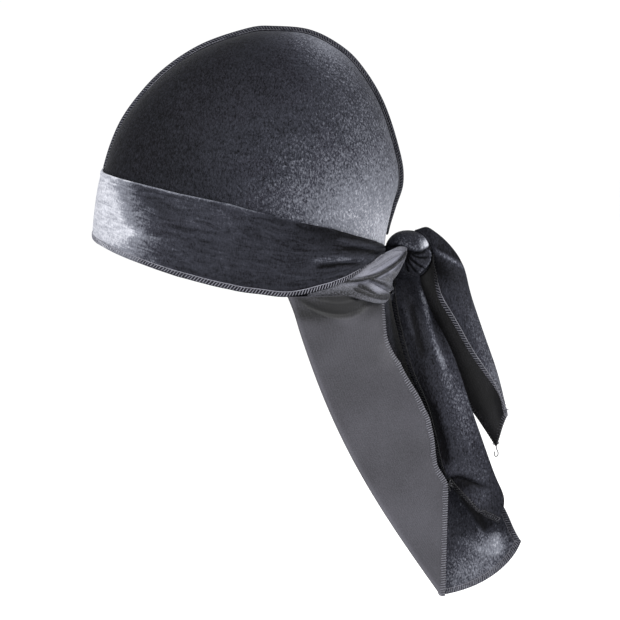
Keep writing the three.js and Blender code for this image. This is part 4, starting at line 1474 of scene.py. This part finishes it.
@dataclass
class BackFlap:
    """Cape sewn below the rim round the nape, its near part folded outward."""

    form: DuragForm
    wardrobe: Wardrobe
    wall: float = 1.2
    rows: int = 190
    front_columns: int = 70
    turn_columns: int = 16
    back_columns: int = 80
    length: float = 205.0
    sweep: float = 100.0
    fold_bow: float = 12.5
    hem_out: float = 30.0
    hem_back: float = 57.0
    hem_lift: float = 8.0
    hem_curl: float = 24.0
    hem_far: float = 0.5
    front_length: float = 128.0
    far_bow: float = 10.0
    bulge: float = 9.0
    bulge_place: float = 0.66
    bulge_width: float = 0.16
    corner_round: float = 5.0
    front_share: float = 0.36
    turn_share: float = 0.46
    start_turn: float = 113.0
    edge_turn: float = 161.0
    step_share: float = 0.12
    edge: Sections = Sections(("drop", "back", "out"), (
        (0, 0, 0.49), (0.15, 0.01, 0.53), (0.25, 0.025, 0.54), (0.36, 0.086, 0.54),
        (0.6, 0.214, 0.53), (0.73, 0.257, 0.5), (0.89, 0.28, 0.46), (1, 0.338, 0.44)))
    front_folds: tuple[Fold, ...] = (
        Fold(((29.6, -15.0), (40.2, -22.9), (50.9, -29.0), (61.0, -32.7), (69.9, -32.7),
              (79.0, -28.3), (86.0, -20.8)), 1.2, 2.4, 1.0, 12.0),
        Fold(((33.4, -14.4), (41.5, -20.4), (49.6, -25.1), (59.0, -27.5), (68.6, -27.4),
              (79.0, -22.0)), -1.8, 2.4),
        Fold(((36.0, -13.0), (46.5, -18.6), (59.0, -21.8), (70.0, -21.0), (81.0, -17.0)), 0.9, 1.8),
        Fold(((28.3, -16.8), (32.1, -23.0), (36.5, -31.3), (40.8, -42.4), (45.9, -55.5)), -0.9, 1.4),
    )
    back_folds: tuple[Fold, ...] = (
        Fold(((137.0, -148.0), (145.2, -160.4), (151.4, -169.6), (156.8, -178.4), (162.6, -185.3)),
             1.6, 1.2, -3.0, 9.0),
        Fold(((137.2, -182.2), (149.6, -187.0), (161.3, -192.6), (172.2, -195.0)), 0.8, 2.4),
        Fold(((168.0, -180.0), (168.3, -188.0), (171.0, -194.0)), 1.4, 4.0),
    )
    # Painted highlights near the hem of the layer behind, a faint lighter patch and a darker patch higher
    # up.
    patches: tuple[ToneAndLightPatch, ...] = (
        ToneAndLightPatch(164, -187, 11, 8, 0.2),
        ToneAndLightPatch(152, -203, 30, 16, 0.32, 25),
        ToneAndLightPatch(140, -170, 16, 16, 0.06),
        ToneAndLightPatch(100, -60, 30, 50, -0.16, -60),
    )
    velvet_light: float = 0.22
    ground_light: float = 0.24
    # Painted shading of the folded part's folds, per millimetre of height.
    ground_fold_shading: float = 0.06
    behind_light: float = 0.2
    # Painted highlight along the crest where the flap turns over its fold.
    fold_crest_highlight: float = 0.2
    crest_place: float = 0.01
    crest_width: float = 0.012
    top_lift: float = 1.4
    ripple: float = 0.5
    whip: Overlock = Overlock(width=3.6, pitch=1.6)
    # Painted light and shade along the flap's thread: lighter down the near edge, darker from the hem on.
    tones: Pairs = ((0.0, 0.5), (0.42, 0.46), (0.52, 0.26), (1.0, 0.2))
    tuft: tuple[float, float] = (136.0, -152.8)
    tuft_sway: float = 1.2
    strands: tuple[Pairs, ...] = (
        ((1.4, 1.2), (3.2, 1.0)), ((2.0, 0.0), (3.6, -1.2)), ((0.9, 1.6), (1.6, 3.4)),
        ((1.2, -1.6), (1.6, -3.6)))
    # Painted shadow under the band on the folded part, with faint lighter and darker patches below.
    front_patches: tuple[ToneAndLightPatch, ...] = (
        ToneAndLightPatch(62, -18, 34, 9, -0.34, 3),
        ToneAndLightPatch(60, -27.5, 28, 4.5, -0.24),
        ToneAndLightPatch(60, -32, 20, 4, 0.05, -15),
        ToneAndLightPatch(74, -66, 34, 40, -0.05, -60),
        ToneAndLightPatch(105, -165, 14, 34, 0.05, 60),
    )

    @property
    def top_drop(self) -> float:
        """Drop of the flap's top edge at the nape."""
        return float(2 * self.form.clearance - self.form.rim_rise(180.0))

    @property
    def front_top(self) -> float:
        """Drop of the folded part's top edge."""
        return self.form.edge_drop + 4 * self.form.clearance - self.top_lift

    def fold_line(self, down: np.ndarray) -> np.ndarray:
        """Fold line, from below the ear to the hem's near corner.

        Args:
            down: Shares of the way down.

        Returns:
            Points of the fold.
        """
        form = self.form
        top = form.head.at(self.start_turn, -self.front_top, form.fold_radius - form.wall / 2)
        bow = self.fold_bow * np.sin(down * math.pi)
        return points(mix(top[0], self.hem_out, down**0.9), top[1] + self.sweep * down - bow,
                      mix(-self.top_drop, -self.top_drop - self.length, down))

    def hem(self, across: np.ndarray) -> np.ndarray:
        """Hem, from the near corner back and up to the far corner.

        Args:
            across: Shares of the way to the far corner.

        Returns:
            Points of the hem.
        """
        corner = self.fold_line(np.ones(1))[0]
        return points(self.hem_out * mix(1.0, self.hem_far, across) - self.form.fold_radius,
                      corner[1] + self.hem_back * across,
                      corner[2] + self.hem_lift * across + self.hem_curl * across**2.5)

    def front(self, down: np.ndarray, across: np.ndarray) -> np.ndarray:
        """Folded near part.

        Args:
            down: Shares of the way down.
            across: Shares from the free edge to the fold.

        Returns:
            Points of the middle surface.
        """
        form, sections = self.form, self.edge
        out = 2 * form.fold_radius - form.wall / 2
        top = form.head.at(mix(self.edge_turn, self.start_turn, across), -self.front_top, out)
        back = form.head.at(self.edge_turn, -self.front_top, out)[1]
        edge = points(form.head.half_width * sections.read("out", down),
                      back + self.front_length * sections.read("back", down),
                      -self.front_top - self.front_length * down)
        shift = np.array([form.fold_radius, 0, 0])
        ruled = mix(edge, self.fold_line(down) + shift, across[..., None])
        first = np.array([form.head.half_width * sections.rows[0][2], back, -self.front_top])
        start = mix(first, self.fold_line(np.zeros(1))[0] + shift, across[..., None])
        ruled = ruled + (top - start) * ((1 - down) ** 3)[..., None]
        relief = sum(f.relief(ruled[..., 1], ruled[..., 2]) for f in self.front_folds)
        fade = smooth(across, 0.0, 0.06) * (1 - smooth(across, 0.94, 1.0)) * smooth(down, 0.0, 0.02)
        ruled[..., 0] += relief * fade
        wave = np.sin(down * 9 + across * 4) * np.sin(across * math.pi)
        ruled[..., 0] += self.ripple * wave * smooth(down, 0.2, 0.5)
        return ruled

    def back(self, down: np.ndarray, across: np.ndarray) -> np.ndarray:
        """Layer behind the folded part.

        Args:
            down: Shares of the way down.
            across: Shares from the fold to the far edge.

        Returns:
            Points of the middle surface.
        """
        form = self.form

        def ruled(share: np.ndarray) -> np.ndarray:
            """Straight lines from the rim to the hem.

            Args:
                share: Shares from the fold to the far edge.

            Returns:
                Points on the lines.
            """
            drop = mix(self.front_top, self.top_drop, smooth(share, 0, self.step_share))
            turn = mix(self.start_turn, 360 - self.start_turn, share)
            return mix(form.head.at(turn, -drop, -form.wall / 2), self.hem(share), down[..., None])

        fold = self.fold_line(down) - np.array([form.fold_radius, 0, 0])
        pull = (1 - across) ** 2 * smooth(down, 0, self.step_share)
        place = ruled(across) + (fold - ruled(np.zeros(across.shape))) * pull[..., None]
        far = self.far_bow * np.sin(down * math.pi) * across * smooth(down, 0, 0.6)
        bulge = np.exp(-(((across - self.bulge_place) / self.bulge_width) ** 2))
        full = self.bulge * bulge * smooth(down, 0, 0.08) * (1 - smooth(down, 0.15, 0.7))
        corner = self.corner_round * across**6 * smooth(down, 0.86, 1)
        place[..., 1] += far + full - corner
        relief = sum(f.relief(place[..., 1], place[..., 2]) for f in self.back_folds)
        place[..., 0] += relief * smooth(across, 0.08, 0.2) * (1 - smooth(across, 0.93, 1.0))
        return place

    def middle(self) -> tuple[np.ndarray, np.ndarray]:
        """Middle surface of the whole flap.

        Returns:
            Grid of points, down and from the free edge across, and the across shares.
        """
        first, last = self.front_share, self.turn_share
        cuts = (np.linspace(0, first, self.front_columns, endpoint=False),
                np.linspace(first, last, self.turn_columns, endpoint=False),
                np.linspace(last, 1, self.back_columns))
        along, across = np.meshgrid(np.linspace(0, 1, self.rows), np.concatenate(cuts), indexing="ij")
        down = along * mix(0.5, 1, along)
        front = self.front(down, np.clip(across / first, 0, 1))
        back = self.back(down, np.clip((across - last) / (1 - last), 0, 1))
        turn = math.pi * np.clip((across - first) / (last - first), 0, 1)
        turned = mix(front, back, ((1 - np.cos(turn)) / 2)[..., None])
        turned[..., 1] -= self.form.fold_radius * np.sin(turn)
        return turned, across

    def build(self) -> None:
        """Builds the flap and the overlock thread round its open edges."""
        dress = self.wardrobe
        middle, across = self.middle()
        # Painted highlights and shade on the velvet of the layer behind; painted shadow under the band
        # and painted shading of the folds on the folded part's knit.
        velvet = tone_and_light_at(middle, self.velvet_light, self.patches, self.back_folds)
        ground = tone_and_light_at(middle, self.ground_light, self.front_patches, self.front_folds,
                        self.ground_fold_shading)
        # Painted highlight along the fold's turn.
        crest = (across - self.front_share - self.crest_place) / self.crest_width
        ground += self.fold_crest_highlight * np.exp(-(crest**2))
        ground = np.where(across < self.turn_share, ground, self.behind_light)
        flap = cloth_piece("back_flap_cloth", middle, self.wall, (velvet, ground),
                           (dress.velvet, dress.ground))
        keep(flap, "wrong_side", "back_flap")
        line = EdgeLine.of_grid(middle, open_border(*middle.shape[:2]))
        near_edge = middle[:, 0]
        away = np.hypot(near_edge[:, 1] - self.tuft[0], near_edge[:, 2] - self.tuft[1])
        tuft = near_edge[away.argmin()]
        loose = tuple(loose_end(tuft, bends, self.tuft_sway) for bends in self.strands)
        whip = self.whip.piece("flap_overlock", line, self.wall, dress.thread, self.tones, loose)
        keep(whip, "wrong_side")


TAIL_LINES = ("edge_back", "edge_drop", "fold_back", "fold_drop", "far_back", "far_drop")
UPPER_TAIL = Sections(TAIL_LINES, (
    (0.12, 0.02, 0.085, -0.124, 0.05, 0.05), (0.12, 0.106, 0.168, -0.06, 0.03, 0.14),
    (0.133, 0.185, 0.241, 0.04, 0.09, 0.243), (0.191, 0.282, 0.278, 0.178, 0.14, 0.378),
    (0.272, 0.424, 0.339, 0.357, 0.195, 0.509), (0.348, 0.531, 0.394, 0.513, 0.245, 0.631),
    (0.406, 0.611, 0.427, 0.639, 0.325, 0.745), (0.424, 0.682, 0.443, 0.72, 0.405, 0.868)))
LOWER_TAIL = Sections(TAIL_LINES, (
    (-0.061, 0.1, 0.044, 0.11, -0.033, 0.11), (-0.057, 0.163, 0.08, 0.202, -0.015, 0.196),
    (-0.036, 0.266, 0.136, 0.306, 0.024, 0.301), (0.002, 0.395, 0.174, 0.4, 0.066, 0.406),
    (0.048, 0.499, 0.208, 0.505, 0.109, 0.512), (0.083, 0.631, 0.253, 0.632, 0.145, 0.639),
    (0.104, 0.723, 0.3, 0.763, 0.181, 0.753), (0.139, 0.779, 0.336, 0.851, 0.224, 0.832),
    (0.241, 0.881, 0.315, 0.929, 0.281, 0.921)))


def tie_ends(form: DuragForm, wardrobe: Wardrobe, knot: Knot) -> tuple[TieEnd, TieEnd]:
    """Both tie ends with their own sizes.

    Args:
        form: Shared sizes.
        wardrobe: Shared finishes.
        knot: The knot that they leave.

    Returns:
        The upper and the lower tie end.
    """
    upper = TieEnd(
        form, wardrobe, knot, TailKind.UPPER, UPPER_TAIL, length=150.0, spread=20.0, out=4.0,
        fold_share=0.4,
        seats={"edge": (0.3, 0.95, 0.3), "fold": (0.05, 0.3, 1), "far": (-0.5, 0.6, -0.2)},
        flat=(0.05, 0.15), base=0.14,
        # Painted light and shade along the thread: dark near the knot and along the far side, lighter
        # along the near edge.
        tones=((0.0, -0.2), (0.05, -0.1), (0.1, 0.34), (0.44, 0.4), (0.5, 0.05)),
        folds=(
            Fold(((123.3, 9.0), (129.1, 5.9), (137.0, 1.9), (141.8, -0.2), (143.9, -3.6)),
                 1.0, 1.0, -1.2, 6.0),
        ),
        # Painted highlight along the crease below the knot and painted sheen down the strip, with a
        # darker patch beside the crease.
        patches=(ToneAndLightPatch(156, -46, 10, 34, 0.24, 20), ToneAndLightPatch(166, -80, 8, 18, 0.26, 20),
                 ToneAndLightPatch(135, 2.6, 13, 1.5, 0.34, -32), ToneAndLightPatch(130, -5, 16, 6, -0.16, -40)),
        loose=(((0.4, -2.0), (1.3, -4.2), (1.0, -6.4), (-0.6, -6.9), (-1.2, -5.2), (-0.7, -3.6)),))
    lower = TieEnd(
        form, wardrobe, knot, TailKind.LOWER, LOWER_TAIL, length=190.0, spread=16.0, out=20.0,
        fold_share=0.62,
        seats={"edge": (0.72, -0.62, -0.12), "fold": (0.5, 0.4, -0.75), "far": (-0.45, 0.1, -0.85)},
        flat=(0.05, 0.18), base=0.12,
        # Painted shade keeps the thread dark along most of the edge, with a short lighter stretch at the
        # tip.
        tones=((0.0, -0.25), (0.4, -0.2), (0.45, 0.04), (0.52, 0.04), (0.56, -0.2)),
        folds=(
            Fold(((113.6, -12.4), (116.3, -17.7), (119.5, -25.4), (120.6, -31.7), (122.3, -40.5),
                  (124.8, -49.9), (127.3, -57.6), (130.6, -64.8), (134.0, -70.8)), 2.0, 1.6, -1.2, 8.0),
            Fold(((103.1, -25.8), (106.2, -33.3), (108.7, -41.4), (110.5, -49.0)), 1.0, 1.8),
            Fold(((109.3, -24.2), (111.5, -36.6), (114.5, -49.1), (119.7, -63.4)), -1.2, 2.4),
            Fold(((121.8, -88.2), (127.1, -104.7), (131.8, -121.4), (133.9, -133.3)), -1.4, 3.0),
            Fold(((130.7, -142.4), (138.5, -139.4), (143.9, -140.2), (152.0, -144.1), (162.3, -148.2)),
                 -1.8, 1.8, 1.6, 10.0),
        ),
        # Painted highlights on the ridges and the hem, painted sheen down the middle, and painted shade
        # beside a ridge and at the cross fold.
        patches=(ToneAndLightPatch(138, -84, 12, 34, 0.22, 18), ToneAndLightPatch(150, -112, 14, 28, 0.16, 20),
                 ToneAndLightPatch(122, -92, 5, 40, -0.14, 14), ToneAndLightPatch(156, -154, 8, 7, 0.22),
                 ToneAndLightPatch(118.5, -24, 2.2, 14, 0.26, 12), ToneAndLightPatch(129.5, -64, 3, 16, 0.24, 20),
                 ToneAndLightPatch(142, -143, 9, 5, -0.2)))
    return upper, lower


@dataclass(frozen=True)
class AreaLamp:
    """A soft studio lamp aimed at the object."""

    name: str
    place: tuple[float, float, float]
    size: float
    power: float


@dataclass
class Studio:
    """Pale floor, soft light and the camera at the photograph's angle."""

    lens: float = 104.52
    sensor: float = 36.0
    camera_place: tuple[float, float, float] = (1193.4, 43.33, 93.25)
    elevation: float = 6.0
    floor_drop: float = 420.0
    floor_size: float = 30.0
    world: str = "#ffffff"
    world_light: float = 1.04
    lamp_aim: tuple[float, float, float] = (0.0, 0.03, -0.02)
    lamps: tuple[AreaLamp, ...] = (
        AreaLamp("key", (1.4, -1.2, 1.4), 0.8, 60.0),
        AreaLamp("kicker", (0.3, 1.9, 1.0), 0.9, 40.0),
    )

    def build(self) -> None:
        """Builds the camera, the floor, the lamps and the world."""
        data = bpy.data.cameras.new("camera")
        data.lens, data.sensor_width = self.lens, self.sensor
        camera = bpy.data.objects.new("camera", data)
        camera.location = Vector(self.camera_place) * MM
        camera.rotation_euler = (math.radians(90 - self.elevation), 0, math.radians(90))
        bpy.context.scene.collection.objects.link(camera)
        bpy.context.scene.camera = camera
        low = -self.floor_drop * MM
        bpy.ops.object.select_all(action="DESELECT")
        bpy.ops.mesh.primitive_plane_add(size=self.floor_size, location=(0, 0, low))
        floor = bpy.context.object
        floor.name = "floor"
        floor.data.transform(floor.matrix_world)
        floor.matrix_world.identity()
        floor.data.materials.append(MattePaper().material())
        for lamp in self.lamps:
            light = bpy.data.lights.new(lamp.name, "AREA")
            light.energy, light.size, light.shape = lamp.power, lamp.size, "DISK"
            holder = bpy.data.objects.new(lamp.name, light)
            holder.location = lamp.place
            aim = Vector(self.lamp_aim) - holder.location
            holder.rotation_euler = aim.to_track_quat("-Z", "Y").to_euler()
            bpy.context.scene.collection.objects.link(holder)
        world = bpy.data.worlds.new("studio")
        world.use_nodes = True
        sky = world.node_tree.nodes["Background"]
        sky.inputs["Color"].default_value = srgb(self.world)
        sky.inputs["Strength"].default_value = self.world_light
        bpy.context.scene.world = world
        bpy.context.scene.view_settings.view_transform = "Standard"


def plain(bounds: Iterable[Iterable[float]]) -> list[list[float]]:
    """Two corners of a box as plain lists of numbers."""
    return [[float(v) for v in corner] for corner in bounds]


def main() -> None:
    """Builds the durag and its studio."""
    logging.basicConfig(level=logging.INFO, format="%(name)s: %(message)s")
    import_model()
    bpy.ops.object.select_all(action="DESELECT")
    Studio().build()
    form, wardrobe = DuragForm(), Wardrobe()
    knot = Knot(form, wardrobe)
    for part in (Crown(form, wardrobe), BrowBand(form, wardrobe), knot, Ties(form, wardrobe, knot),
                 *tie_ends(form, wardrobe, knot), BackFlap(form, wardrobe)):
        part.build()
        log.info("%s is built", type(part).__name__)


if __name__ == "__main__":
    main()
